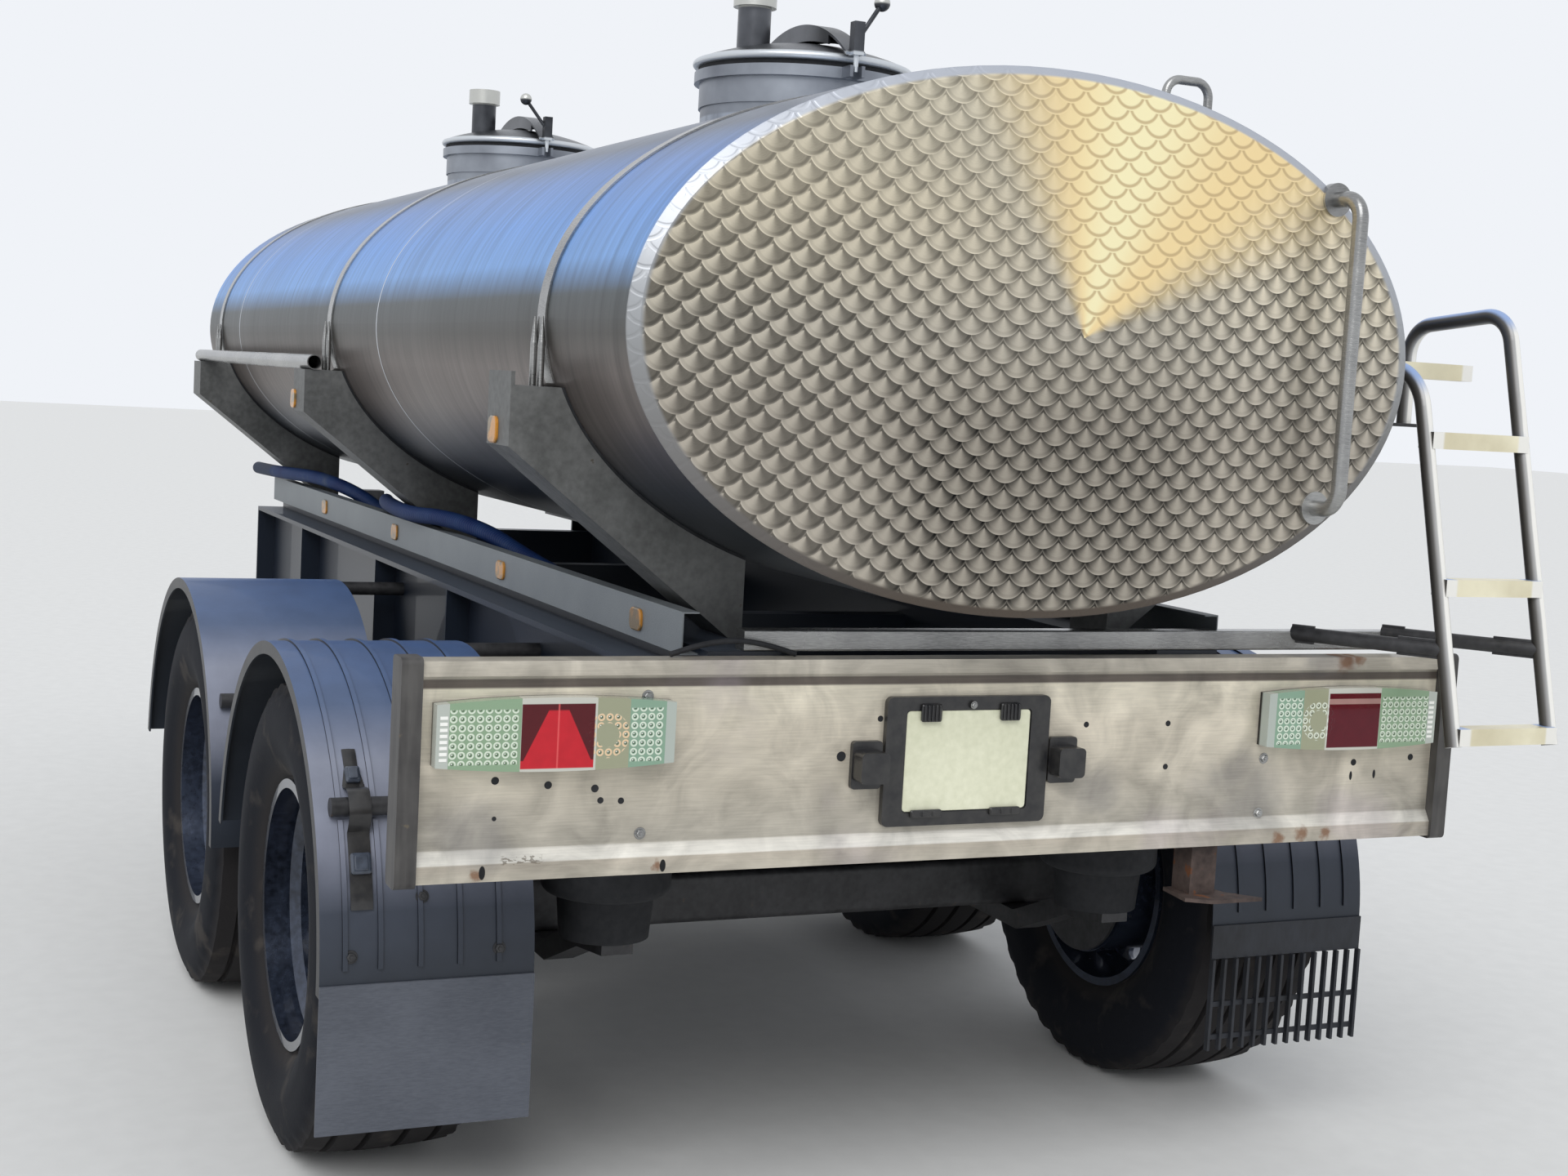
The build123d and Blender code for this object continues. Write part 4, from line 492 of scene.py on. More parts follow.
wheel_paint = worn(
    "wheel_paint", (26, 31, 42), (70, 79, 98), 0.55, 0.24, 2.2,
    spots=(80, 72, 64), spot_level=0.70, coat=0.5,
)
end_rubber = worn(
    "end_rubber", (44, 42, 42), (84, 82, 80), 0.0, 0.5, 9.0, (1, 1, 0.1),
    spots=(96, 88, 76), spot_level=0.70,
)
dark_flap = worn("dark_flap", (24, 26, 31), (42, 45, 52), 0.0, 0.6, 7.0, (1, 1, 0.4))
black_plastic = worn("black_plastic", (26, 26, 29), (50, 49, 48), 0.0, 0.38, 24.0, coat=0.25)
print("finishes", len(bpy.data.materials))

# %% [markdown]
# Three of the parts need more than two shades, so they get finishes of their own. A lid is dull
# on its dome and polished on its rolled rim, and its breather cap is chalky. A shade that goes by
# height finds all three without cutting the lid into pieces.

# %% Lids
lid_steel, lid_shader, lid_place = new_finish("lid_steel")
lid_height = split(lid_place)[2]
rim_ends, cap_ends = (2.519, 2.514), (2.634, 2.640)
lid_cloud = noise(lid_place, 5.0, 5.0)
lid_colour = shaded(lid_cloud, [(0.36, tone(46, 48, 52)), (0.64, tone(98, 100, 105))])
lid_colour = blend(soft_step(lid_height, *rim_ends), lid_colour, tone(208, 212, 216))
lid_colour = blend(soft_step(lid_height, *cap_ends), lid_colour, tone(200, 200, 194))
feed(
    lid_shader, lid_place, bump=noise(lid_place, 60.0, 3.0, (1, 30, 1)), bump_distance=0.0004,
    Base_Color=lid_colour, Metallic=0.7, Roughness=0.26 + lid_cloud * 0.12,
)
print("lid rim below", rim_ends[0], "cap above", cap_ends[0])

# %% [markdown]
# The ladder's rails are polished tube, with a painted shade on one side, a painted highlight on the
# other and a painted blue sky reflection on what faces up; its steps are scrubbed pale by boots.
# On a thin tube a mirror finish would only flicker, so the painted light and shade follow the way
# that the face points.

# %% Ladder
aluminium, ladder_shader, ladder_place = new_finish("ladder_aluminium")
ladder_streaks = noise(ladder_place, 5.0, 5.0)
ladder_out = facing(ladder_place)
ladder_middle, step_half = -1.1135, 0.100
# A painted highlight on the side toward the light, and painted shade on the other side.
toward_light = ladder_out[0] * -0.21 + ladder_out[1] * -0.455 + 0.5 + (ladder_streaks - 0.5) * 0.16
on_step = near(split(ladder_place)[1], ladder_middle, step_half, 0.008)
rail_light_and_shade = shaded(toward_light, [
    (0.00, tone(60, 57, 54)), (0.25, tone(92, 90, 87)), (0.42, tone(140, 139, 138)),
    (0.52, tone(172, 172, 170)), (0.60, tone(238, 236, 230)), (0.88, tone(250, 248, 240)),
    (1.00, tone(176, 174, 168)),
])
# What faces up gets a painted blue sky reflection.
rail_light_and_shade = blend(soft_step(ladder_out[2], 0.35, 0.80), rail_light_and_shade, tone(150, 174, 216))
step_shade = shaded(ladder_streaks, [(0.30, tone(206, 196, 164)), (0.70, tone(252, 246, 218))])
feed(
    ladder_shader, ladder_place, bump=ladder_streaks, bump_distance=0.0004,
    Base_Color=blend(on_step, rail_light_and_shade, step_shade), Metallic=0.35, Roughness=0.36,
)
print("ladder steps reach", step_half, "either side of", ladder_middle)

# %% [markdown]
# A mudguard is black plastic bent round the wheel. What faces up and back gets a painted
# reflection of the sky and the road behind, and its front and sides get painted shade, so its
# colour follows the face as well.

# %% Mudguards
guard_plastic, guard_shader, guard_place = new_finish("guard_plastic")
guard_out = facing(guard_place)
# Painted reflection and shade by how far the face tips up: rear faces have a pale band of reflected sky
# and road, front faces turn from dark to sky blue.
behind_reflection_and_shade = shaded(guard_out[2], [
    (0.00, tone(44, 49, 57)), (0.25, tone(58, 64, 76)), (0.45, tone(128, 132, 147)),
    (0.70, tone(144, 149, 165)), (0.86, tone(88, 104, 134)), (1.00, tone(76, 100, 142)),
])
before_reflection_and_shade = shaded(guard_out[2], [
    (0.0, tone(18, 21, 27)), (0.5, tone(46, 54, 70)), (1.0, tone(70, 98, 146)),
])
guard_colour = blend(soft_step(guard_out[0], 0.05, -0.15), before_reflection_and_shade, behind_reflection_and_shade)
# Faces turned to the sides get painted shade.
guard_colour = blend(soft_step(abs(guard_out[1]), 0.5, 0.8), guard_colour, tone(13, 15, 21))
guard_grain = noise(guard_place, 14.0, 6.0)
feed(
    guard_shader, guard_place, bump=noise(guard_place, 120.0, 4.0), bump_distance=0.0004,
    Base_Color=darkened(guard_colour, 0.80 + guard_grain * 0.40),
    Roughness=0.38 + guard_grain * 0.1, Coat_Weight=0.1, Specular_IOR_Level=0.3,
)
print("finishes", len(bpy.data.materials))

# %% [markdown]
# ## Lamp panel
# The panel is one folded sheet of stainless across the back. Years of washing leave cloudy swirls,
# purple-grey patches and rust where slots and screws let water in. The folds catch light, so the
# colour follows the height on the sheet, with a painted highlight on the lower fold and a painted
# shadow under the top lip, and the marks sit at the places where the sheet is pierced.

# %% Panel sheet
panel_finish, panel_shader, panel_place = new_finish("panel_sheet")
panel_x, panel_y, panel_z = split(panel_place)
sheet_bottom, sheet_height = 0.808, 0.409
panel_up = (panel_z - sheet_bottom) / sheet_height
# By height: a painted highlight on the lower fold's slope, the sheet lighter toward the top, and a
# painted shadow band under the top lip.
panel_colour = shaded(panel_up, [
    (0.00, tone(168, 162, 149)), (0.078, tone(166, 158, 145)), (0.084, tone(200, 197, 188)),
    (0.135, tone(194, 190, 181)), (0.145, tone(158, 153, 142)), (0.40, tone(170, 163, 149)),
    (0.65, tone(187, 179, 163)), (0.868, tone(194, 187, 170)), (0.876, tone(84, 76, 70)),
    (0.911, tone(90, 83, 76)), (0.917, tone(158, 152, 140)), (1.00, tone(168, 162, 150)),
])
bend = panel_place.add("TexNoise", None, {"Vector": panel_place, "Scale": 3.0, "Detail": 2.0}, 1)
bent_place = panel_place.add("VectorMath", {"operation": "ADD"}, {0: panel_place, 1: bend})
swirl = noise(bent_place, 6.0, 6.0)
brush = noise(panel_place, 9.0, 5.0, (1, 1.5, 34))
purple = soft_step(noise(panel_place, 2.6, 4.0), 0.56, 0.68) * 0.35
panel_colour = blend(purple, panel_colour, tone(146, 136, 142))
panel_colour = darkened(panel_colour, 0.12 + swirl * 1.80 + brush * 0.50)
print("sheet from", sheet_bottom, "to", round(sheet_bottom + sheet_height, 3))

# %% [markdown]
# Rust runs from the slots and screw holes, grey smudges lie where hands and hoses rub, and the
# lower fold is scraped. Each mark is a place on the sheet with a ragged edge of noise, because a
# stain that is drawn as a clean circle looks like a sticker.

# %% Panel marks
rust_marks = (
    (1.056, 0.818, 0.016), (0.700, 0.822, 0.014), (0.318, 1.022, 0.014), (-0.901, 1.210, 0.034),
    (-0.933, 1.214, 0.022), (-0.749, 0.818, 0.022), (-0.811, 0.826, 0.024), (-0.879, 0.825, 0.020),
)
smudges = (
    (-0.281, 0.952, 0.09), (-0.631, 0.955, 0.10), (-0.696, 0.921, 0.12),
    (-0.820, 1.217, 0.07), (1.065, 0.902, 0.11),
)
slots = (
    (1.044, 0.825, 0.006, 0.013), (0.690, 0.823, 0.006, 0.012),
    (-0.948, 0.949, 0.004, 0.010), (-1.013, 0.951, 0.004, 0.010),
)


def marked(marks, raggedness, ragged_scale):
    """1 inside any of the marks, each a place and a size on the sheet, with a ragged edge."""
    masks = []
    for mark_y, mark_z, size in marks:
        away = panel_x.maths("SQRT", (panel_y - mark_y) ** 2 + (panel_z - mark_z) ** 2)
        away = away + (noise(panel_place, ragged_scale, 4.0) - 0.5) * raggedness
        masks.append(soft_step(away, size, size * 0.2))
    return highest(masks)


def slotted(ovals):
    """1 inside any upright oval slot, each a place and its two half sizes."""
    masks = []
    for slot_y, slot_z, half_y, half_z in ovals:
        across, along = (panel_y - slot_y) / half_y, (panel_z - slot_z) / half_z
        masks.append(soft_step(panel_x.maths("SQRT", across ** 2 + along ** 2), 1.08, 0.92))
    return highest(masks)


stain = marked(rust_marks, 0.03, 70.0)
panel_colour = blend(marked(smudges, 0.16, 9.0) * 0.35, panel_colour, tone(104, 104, 110))
panel_colour = blend(stain * 0.75, panel_colour, tone(128, 84, 50))
scraped = near(panel_y, 0.968, 0.035, 0.008) * near(panel_z, 0.8455, 0.006, 0.003)
scraped = scraped * soft_step(noise(panel_place, 190.0, 3.0, (1, 0.5, 1)), 0.52, 0.56)
panel_colour = blend(scraped * 0.7, panel_colour, tone(98, 88, 74))
# The slots are near-black ovals: painted shade where the openings are.
panel_colour = blend(slotted(slots), panel_colour, tone(14, 15, 18))
feed(
    panel_shader, panel_place, bump=brush + swirl, bump_distance=0.0005,
    Base_Color=panel_colour, Metallic=0.30, Roughness=0.34 + stain * 0.4 + swirl * 0.1,
)
print("rust marks", len(rust_marks), "smudges", len(smudges), "slots", len(slots))

# %% [markdown]
# ## Rear lamps
# Behind one clear lens sit a white reflector column, rows of small round emitters, a red square
# and a ring of amber ones. The lamps mirror each other, so one scale from the outer end serves
# both, and only the left one has a triangle. Modelled emitters would hide inside the solid lens,
# so the pattern is worked out on the lens face in cells, each with a ring about its middle.

# %% Lamp lens
lamp_finish, lamp_shader, lamp_place = new_finish("lamp_lens")
lamp_x, lamp_y, lamp_z = split(lamp_place)
on_right = lamp_x.maths("LESS_THAN", lamp_y, 0.0)
lamp_outer_end, lamp_long, lamp_middle = 1.145, 0.460, 1.080
circle_run, red_run, red_half = 0.708, 0.498, 0.152
run = (lamp_outer_end - abs(lamp_y)) / lamp_long
ring_glass, dark_glass = tone(240, 248, 232), tone(66, 84, 62)
lamp_colour = shaded(run, [
    (0.00, tone(186, 192, 184)), (0.05, tone(142, 168, 138)), (0.343, tone(200, 200, 190)),
    (0.657, tone(158, 160, 134)), (0.80, tone(136, 166, 144)), (0.955, tone(178, 186, 178)),
], True)
cell_size = 0.0165
cell_side = lamp_x.maths("FRACT", lamp_y / cell_size + 40) - 0.5
cell_up = lamp_x.maths("FRACT", lamp_z / cell_size) - 0.5
cell_distance = lamp_x.maths("SQRT", cell_side * cell_side + cell_up * cell_up)
ring = near(cell_distance, 0.34, 0.05, 0.08)
emitter = soft_step(cell_distance, 0.20, 0.12)
# Each cell also gets a small painted highlight, a glint, just above and beside its middle.
glint_side, glint_up = cell_side - 0.06, cell_up - 0.07
glint_away = lamp_x.maths("SQRT", glint_side * glint_side + glint_up * glint_up)
glint = soft_step(glint_away, 0.09, 0.05)
lamp_height = abs(lamp_z - lamp_middle)
in_rows = soft_step(lamp_height, 0.052, 0.049)
circle_away = ((run - circle_run) * lamp_long) ** 2 + (lamp_z - lamp_middle) ** 2
circle_away = lamp_x.maths("SQRT", circle_away)
on_circle = near(circle_away, 0.033, 0.009, 0.002)
in_circle = soft_step(circle_away, 0.046, 0.044)
in_grid = near(run, 0.190, 0.140, 0.003) + near(run, 0.877, 0.070, 0.003)
rings_show = (in_grid * (1 - in_circle) + on_circle) * in_rows
lamp_colour = blend(ring * rings_show * 0.75, lamp_colour, ring_glass)
lamp_colour = blend(emitter * rings_show * 0.85, lamp_colour, dark_glass)
amber_share = on_circle * (1 - on_right) * in_rows
lamp_colour = blend(amber_share * ring * 0.8, lamp_colour, tone(240, 196, 148))
lamp_colour = blend(glint * rings_show, lamp_colour, tone(252, 252, 246))
column = near(run, 0.030, 0.014, 0.003) * soft_step(lamp_height, 0.044, 0.042)
prisms = near(lamp_x.maths("FRACT", lamp_z / 0.011), 0.5, 0.22, 0.12)
lamp_colour = blend(column * prisms, lamp_colour, tone(250, 250, 244))
print("lamp cells", cell_size)

# %% Lamp's red square
in_red = near(run, red_run, red_half, 0.002) * soft_step(lamp_height, 0.061, 0.059)
red_side = abs(run - red_run) * lamp_long
triangle_half = 0.0215 + (1.126 - lamp_z) * 0.49
triangle = soft_step(triangle_half - red_side, 0.0, 0.002) * soft_step(lamp_z, 1.130, 1.126)
triangle = highest([triangle, soft_step(lamp_z, 1.036, 1.034)])
middle_rib = near(red_side, 0.0, 0.001, 0.0012)
left_red = blend(triangle, tone(84, 12, 22), tone(196, 30, 44))
left_red = blend(middle_rib * 0.6, left_red, tone(240, 104, 104))
right_red = blend(near(lamp_z, 1.122, 0.005, 0.002), tone(88, 4, 24), tone(168, 130, 124))
red_glass = blend(on_right, left_red, right_red)
red_glass = darkened(red_glass, 0.86 + noise(lamp_place, 40.0, 3.0) * 0.28)
lamp_colour = blend(in_red, lamp_colour, red_glass)
gasket = soft_step(lamp_x, ahead(0.004), ahead(0.010))
feed(
    lamp_shader, lamp_place, bump=ring * rings_show + column * prisms, bump_distance=0.0010,
    Base_Color=blend(gasket, lamp_colour, tone(28, 28, 28)), Roughness=0.14, Coat_Weight=0.25,
    Specular_IOR_Level=0.25,
)
print("lamp length", lamp_long, "middle's height", lamp_middle)

# %% [markdown]
# ## Hose and tyre rubber
# Hose rubber is blue with a bloom of road dust on top. Tyre rubber is nearly black, brown with
# soil on the tread and grey on the side. Both are matt, and the dust is only colour and grain.

# %% Hose and tyre finish
hose_finish, hose_shader, hose_place = new_finish("blue_hose")
hose_dust = noise(hose_place, 9.0, 6.0)
hose_along = split(hose_place)[0]
rib_pitch = 0.011
hose_cuff = soft_step(hose_along, ahead(4.200), ahead(4.230))
hose_ribs = near(hose_place.maths("FRACT", hose_along / rib_pitch), 0.5, 0.15, 0.25)
feed(
    hose_shader, hose_place, bump=hose_ribs + hose_dust * 0.4, bump_distance=0.0012, Roughness=0.62,
    Specular_IOR_Level=0.2,
    Base_Color=blend(hose_cuff, shaded(hose_dust, [
        (0.35, tone(8, 34, 84)), (0.6, tone(22, 50, 96)), (0.80, tone(66, 78, 98)),
    ]), tone(40, 52, 74)),
)
hose_line.materials.append(hose_finish)

tyre_finish, tyre_shader, tyre_place = new_finish("tyre_rubber")
soil = noise(tyre_place, 11.0, 6.0)
tyre_side = abs(abs(split(tyre_place)[1]) - wheel_side)
tyre_colour = blend(soft_step(tyre_side, 0.16, 0.18), tone(38, 36, 37), tone(14, 17, 25))
tyre_colour = blend(soft_step(soil, 0.55, 0.75) * 0.4, tyre_colour, tone(84, 78, 72))
feed(
    tyre_shader, tyre_place, bump=noise(tyre_place, 180.0, 4.0), bump_distance=0.0008,
    Base_Color=tyre_colour, Roughness=0.78 + soil * 0.12, Specular_IOR_Level=0.25,
)
print("hose rib spacing", rib_pitch)

# %% [markdown]
# ## Dressing the carried parts
# Every part that came with the frame gets its finish through its own material slots. A table
# from part to finish is easier to read and to check than many separate lines.

# %% Assign finishes
finishes = {
    "tank_shell": steel_finish, "rear_panel": panel_finish, "tail_lamps": lamp_finish,
    "hold_down_straps": brushed_tube, "rear_cross_bar": brushed_tube, "rear_grab_handle": brushed_tube,
    "lance_tube": brushed_tube, "tank_loop": brushed_tube, "panel_end_pieces": end_rubber,
    "plate_holder": black_plastic, "plate_lamps": black_plastic, "side_rails": rail_zinc,
    "saddle_pads": soft_rubber, "lid_seals": soft_rubber, "air_springs": soft_rubber,
    "ladder": aluminium, "ladder_mounts": black_steel, "drop_bracket": rust, "towing_eye": forged,
    "jack_leg": zinc, "jack_housing": black_steel, "axles": black_steel, "trailing_arms": black_steel,
    "guard_stays": black_steel, "mud_flap_left": flap_rubber, "mud_flap_right": dark_flap,
    "subframe": navy_paint, "frame_rails": navy_paint, "cross_members": navy_paint,
    "drawbar": navy_paint, "suspension_hangers": navy_paint,
}
by_start = {
    "manhole_neck_": steel_finish, "saddle_": zinc, "lid_": lid_steel,
    "mudguard_": guard_plastic, "wheel_": wheel_paint, "tyre_": tyre_finish,
}
for name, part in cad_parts.items():
    chosen = finishes.get(name)
    for start, candidate in by_start.items():
        if chosen is None and name.startswith(start):
            chosen = candidate
    if chosen is not None:
        for material_slot in part.material_slots:
            material_slot.material = chosen
    elif name != "hose":
        print("no finish for", name)
print("dressed", len(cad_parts))

# %% [markdown]
# ## Tyres
# A road tyre is a ring with ribs round its tread, notches at the shoulders and raised rings on
# the side. A turned profile gives the ribs and rings. The notches are made by pulling in the
# shoulder points of every third step round the wheel, which costs no cutting operation.

# %% Mesh helpers
def finish_piece(name, mesh_maker, material, body, smooth_degrees=35):
    """Turns a filled bmesh into a piece that rides on a body."""
    bmesh.ops.recalc_face_normals(mesh_maker, faces=mesh_maker.faces)
    mesh = bpy.data.meshes.new(name)
    mesh_maker.to_mesh(mesh)
    mesh_maker.free()
    mesh.shade_smooth()
    mesh.set_sharp_from_angle(angle=math.radians(smooth_degrees))
    mesh.materials.append(material)
    piece = bpy.data.objects.new(name, mesh)
    bpy.context.scene.collection.objects.link(piece)
    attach(piece, body)
    return piece


def lathe(mesh_maker, profile, centre, axis, sides, shape=None):
    """Turns (along, radius) points about an axis. shape may change a point at one step round."""
    turn_to = axis.to_track_quat("Z", "Y").to_matrix()
    rings = []
    for step in range(sides):
        angle = 2 * math.pi * step / sides
        ring_points = []
        for index, (along, radius) in enumerate(profile):
            if shape:
                along, radius = shape(step, index, along, radius)
            spot = Vector((radius * math.cos(angle), radius * math.sin(angle), along))
            ring_points.append(mesh_maker.verts.new(centre + turn_to @ spot))
        rings.append(ring_points)
    for step in range(sides):
        here, after = rings[step], rings[(step + 1) % sides]
        for index in range(len(profile) - 1):
            mesh_maker.faces.new((here[index], after[index], after[index + 1], here[index + 1]))


def skin(mesh_maker, loops):
    """Joins closed loops of points, each to the next, and closes both ends."""
    count = len(loops[0])
    for lower, upper in zip(loops, loops[1:]):
        for i in range(count):
            after = (i + 1) % count
            mesh_maker.faces.new((lower[i], lower[after], upper[after], upper[i]))
    mesh_maker.faces.new(loops[-1])
    mesh_maker.faces.new(list(reversed(loops[0])))


def add_moved(mesh_maker, shape, matrix):
    """Moves a small bmesh to its place and adds it to a piece in the making."""
    bmesh.ops.transform(shape, matrix=matrix, verts=shape.verts)
    held = bpy.data.meshes.new("held")
    shape.to_mesh(held)
    shape.free()
    mesh_maker.from_mesh(held)
    bpy.data.meshes.remove(held)


def arc_through(first, middle, last, count):
    """Points on the circle through three points, first and last included."""
    (ax, ay), (bx, by), (cx, cy) = first, middle, last
    twice = 2 * (ax * (by - cy) + bx * (cy - ay) + cx * (ay - by))
    a2, b2, c2 = ax * ax + ay * ay, bx * bx + by * by, cx * cx + cy * cy
    ox = (a2 * (by - cy) + b2 * (cy - ay) + c2 * (ay - by)) / twice
    oy = (a2 * (cx - bx) + b2 * (ax - cx) + c2 * (bx - ax)) / twice
    start = math.atan2(ay - oy, ax - ox)
    sweep = (math.atan2(cy - oy, cx - ox) - start + math.pi) % (2 * math.pi) - math.pi
    radius = math.hypot(ax - ox, ay - oy)
    points = []
    for i in range(count):
        angle = start + sweep * i / (count - 1)
        points.append((ox + radius * math.cos(angle), oy + radius * math.sin(angle)))
    return points


print("mesh helpers ready")

# %% Tyres
side_arc = arc_through((0.1487, 0.3025), (0.192, 0.400), (0.171, 0.497), 13)
side_run = [(0.1487, 0.288)]
for index, (offset, radius) in enumerate(side_arc):
    ridge = -0.0018 if index in (3, 4, 8) else 0.0
    side_run.append((offset + ridge, radius))
tread_half, tread_crown, groove_depth = 0.165, 0.009, 0.013
groove_walls = ((0.008, 0.0), (0.005, groove_depth), (-0.005, groove_depth), (-0.008, 0.0))
half_tread = [(tread_half, 0.5105)]
for groove in (0.112, 0.040):
    for across, depth in groove_walls:
        offset = groove + across
        crown = tread_crown * (offset / tread_half) ** 2
        half_tread.append((offset, tyre_radius - crown - depth))
half_tread.append((0.0, tyre_radius))
half_profile = side_run + half_tread
profile = half_profile + [(-offset, radius) for offset, radius in reversed(half_profile[:-1])]
near_row, far_row = len(side_run), len(profile) - len(side_run)
shoulder_rows = {near_row - 1, near_row, far_row, far_row - 1}


def notched(step, index, offset, radius):
    """Every third step, the shoulder points lie lower."""
    if index in shoulder_rows and step % 3 == 0:
        return offset * 0.985, radius - 0.007
    return offset, radius


for end, wheel_x in axle_x.items():
    for hand, side in (("left", 1), ("right", -1)):
        corner = end + "_" + hand
        wheel_centre = Vector((wheel_x, side * wheel_side, tyre_radius))
        body = "running_wheel_" + corner
        tyre_maker = bmesh.new()
        lathe(tyre_maker, profile, wheel_centre, Vector((0, 1, 0)), 120, notched)
        tyre = finish_piece("tread_" + corner, tyre_maker, tyre_finish, body, 28)
        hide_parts("tyre_" + corner)
print("tyre points round the section", len(profile))

# %% [markdown]
# ## Small fastened things
# Nuts, reflectors and clips are what the eye uses to judge size. Each is a chamfered form with
# its washer or frame, made once as a function and set where the part's face is.

# %% Nuts and holes
def add_nut(mesh_maker, place, out, across, height):
    """A hexagon with a chamfered top on a round washer, standing on a face."""
    axis = Vector(out)
    start = Vector(place)
    lathe(mesh_maker, [
        (0.0, 0.0), (0.0, across * 0.80), (height * 0.18, across * 0.76), (height * 0.2, 0.0),
    ], start, axis, 24)
    lathe(mesh_maker, [
        (height * 0.15, 0.0), (height * 0.15, across * 0.57), (height * 0.85, across * 0.57),
        (height, across * 0.48), (height, across * 0.26),
        (height * 1.25, across * 0.24), (height * 1.3, 0.0),
    ], start, axis, 6)


sheet_face = ahead(0.0149)
backward = (-1, 0, 0)
panel_nuts = [(0.731, 1.147), (0.734, 0.884), (-0.702, 0.873), (-0.706, 0.994)]
nut_maker = bmesh.new()
for nut_y, nut_z in panel_nuts:
    add_nut(nut_maker, (sheet_face, nut_y, nut_z), backward, 0.015, 0.007)
finish_piece("panel_nuts", nut_maker, brushed_tube, "trailer", 20)

panel_holes = [
    (1.022, 0.993, 0.006), (0.920, 0.982, 0.006), (0.828, 0.973, 0.006), (0.816, 0.950, 0.005),
    (0.775, 0.948, 0.005), (0.318, 1.022, 0.008), (0.236, 1.096, 0.005), (1.021, 0.922, 0.0035),
    (-0.246, 1.076, 0.005), (-0.450, 1.075, 0.005), (-0.451, 0.982, 0.005),
    (-0.953, 0.979, 0.006), (-1.113, 0.987, 0.006),
]
hole_maker = bmesh.new()
for hole_y, hole_z, radius in panel_holes:
    lathe(hole_maker, [
        (0.0, radius * 1.25), (0.0006, radius * 1.2), (0.0007, radius), (0.0002, radius * 0.8),
        (0.0002, 0.0),
    ], Vector((sheet_face, hole_y, hole_z)), Vector(backward), 20)
finish_piece("panel_holes", hole_maker, soft_rubber, "trailer")
print("nuts", len(panel_nuts), "holes", len(panel_holes))

# %% [markdown]
# ## Number card
# A pale card lies in the recess of the plate holder. It stays blank. Its edge is rolled a little.
# Two ribbed clips hold it above and two toothed ones below, each a slab with smaller slabs on it.

# %% Card and clips
def rounded_slab(mesh_maker, centre, size, depth, corner, steps=5):
    """A plate in the YZ plane, with round corners and a chamfered edge at its back."""
    half_y, half_z = size[0] / 2, size[1] / 2
    loops = []
    for inset, rise in ((0.0, 0.0), (0.0, depth * 0.7), (depth * 0.4, depth)):
        loop = []
        for quarter, (sign_y, sign_z) in enumerate(((1, 1), (-1, 1), (-1, -1), (1, -1))):
            for step in range(steps + 1):
                angle = math.pi / 2 * (quarter + step / steps)
                reach = max(corner - inset, 0.0004)
                y = sign_y * (half_y - corner) + reach * math.cos(angle)
                z = sign_z * (half_z - corner) + reach * math.sin(angle)
                spot = (centre[0] - rise, centre[1] + y, centre[2] + z)
                loop.append(mesh_maker.verts.new(spot))
        loops.append(loop)
    skin(mesh_maker, loops)


card_y, card_z, clip_reach = 0.040, 1.010, 0.091
clip_foot, clip_top = ahead(-0.001), ahead(-0.006)
upper_z, rib_pitch_y = 1.109, 0.0085
lower_z, tooth_pitch = 0.9045, 0.024
card_finish = worn(
    "card_face", (218, 219, 190), (238, 238, 212), 0.0, 0.42, 3.0,
    bump_distance=0.0002, coat=0.2,
)
card_maker = bmesh.new()
rounded_slab(card_maker, (ahead(0.005), card_y, card_z), (0.284, 0.204), 0.0014, 0.008)
finish_piece("blank_card", card_maker, card_finish, "trailer")

clip_maker = bmesh.new()
clip_sides = (card_y - clip_reach, card_y + clip_reach)
for clip_y in clip_sides:
    rounded_slab(clip_maker, (clip_foot, clip_y, upper_z), (0.046, 0.036), 0.006, 0.005)
    for rib in range(5):
        place = (clip_top, clip_y + rib_pitch_y * (rib - 2), upper_z)
        rounded_slab(clip_maker, place, (0.0045, 0.034), 0.005, 0.002)
    rounded_slab(clip_maker, (clip_foot, clip_y, lower_z), (0.070, 0.016), 0.006, 0.004)
    for tooth in (-1, 0, 1):
        place = (clip_top, clip_y + tooth_pitch * tooth, lower_z)
        rounded_slab(clip_maker, place, (0.020, 0.011), 0.003, 0.002)
finish_piece("card_clips", clip_maker, black_plastic, "trailer")

screw_maker = bmesh.new()
add_nut(screw_maker, (ahead(-0.005), 0.036, 1.124), backward, 0.010, 0.004)
finish_piece("card_screw", screw_maker, brushed_tube, "trailer", 20)
print("upper and lower clips at", clip_sides)

# %% [markdown]
# ## Reflectors
# Worn amber reflectors are fixed along the side rails and on the saddle wings. Wear half hides
# the cube-corner cells of the real lens, so each is a chamfered slab and its cells are fine bump.

# %% Reflectors
amber_finish, amber_shader, amber_place = new_finish("amber_reflector")
amber_cells = noise(amber_place, 260.0, 1.0)
amber_wear = soft_step(noise(amber_place, 26.0, 5.0), 0.44, 0.60)
feed(
    amber_shader, amber_place, bump=amber_cells, bump_distance=0.0008, Roughness=0.3, Coat_Weight=0.4,
    Base_Color=blend(amber_wear, tone(196, 132, 40), tone(120, 100, 62)),
)
reflector_maker = bmesh.new()
spots = [(place, 0.630, 1.2505, 0.066, 0.046) for place in (0.364, 1.336, 2.427, 3.410)]
spots += [(place, 0.950, height, 0.055, 0.053) for place, height in ((0.360, 1.626), (2.367, 1.630))]
for side in (1, -1):
    facing_side = Matrix.Rotation(-side * math.pi / 2, 4, "Z")
    for place, y, z, length, height in spots:
        shape = bmesh.new()
        rounded_slab(shape, (0, 0, 0), (length, height), 0.006, 0.016)
        moved = Matrix.Translation((ahead(place), side * (y + 0.0002), z))
        add_moved(reflector_maker, shape, moved @ facing_side)
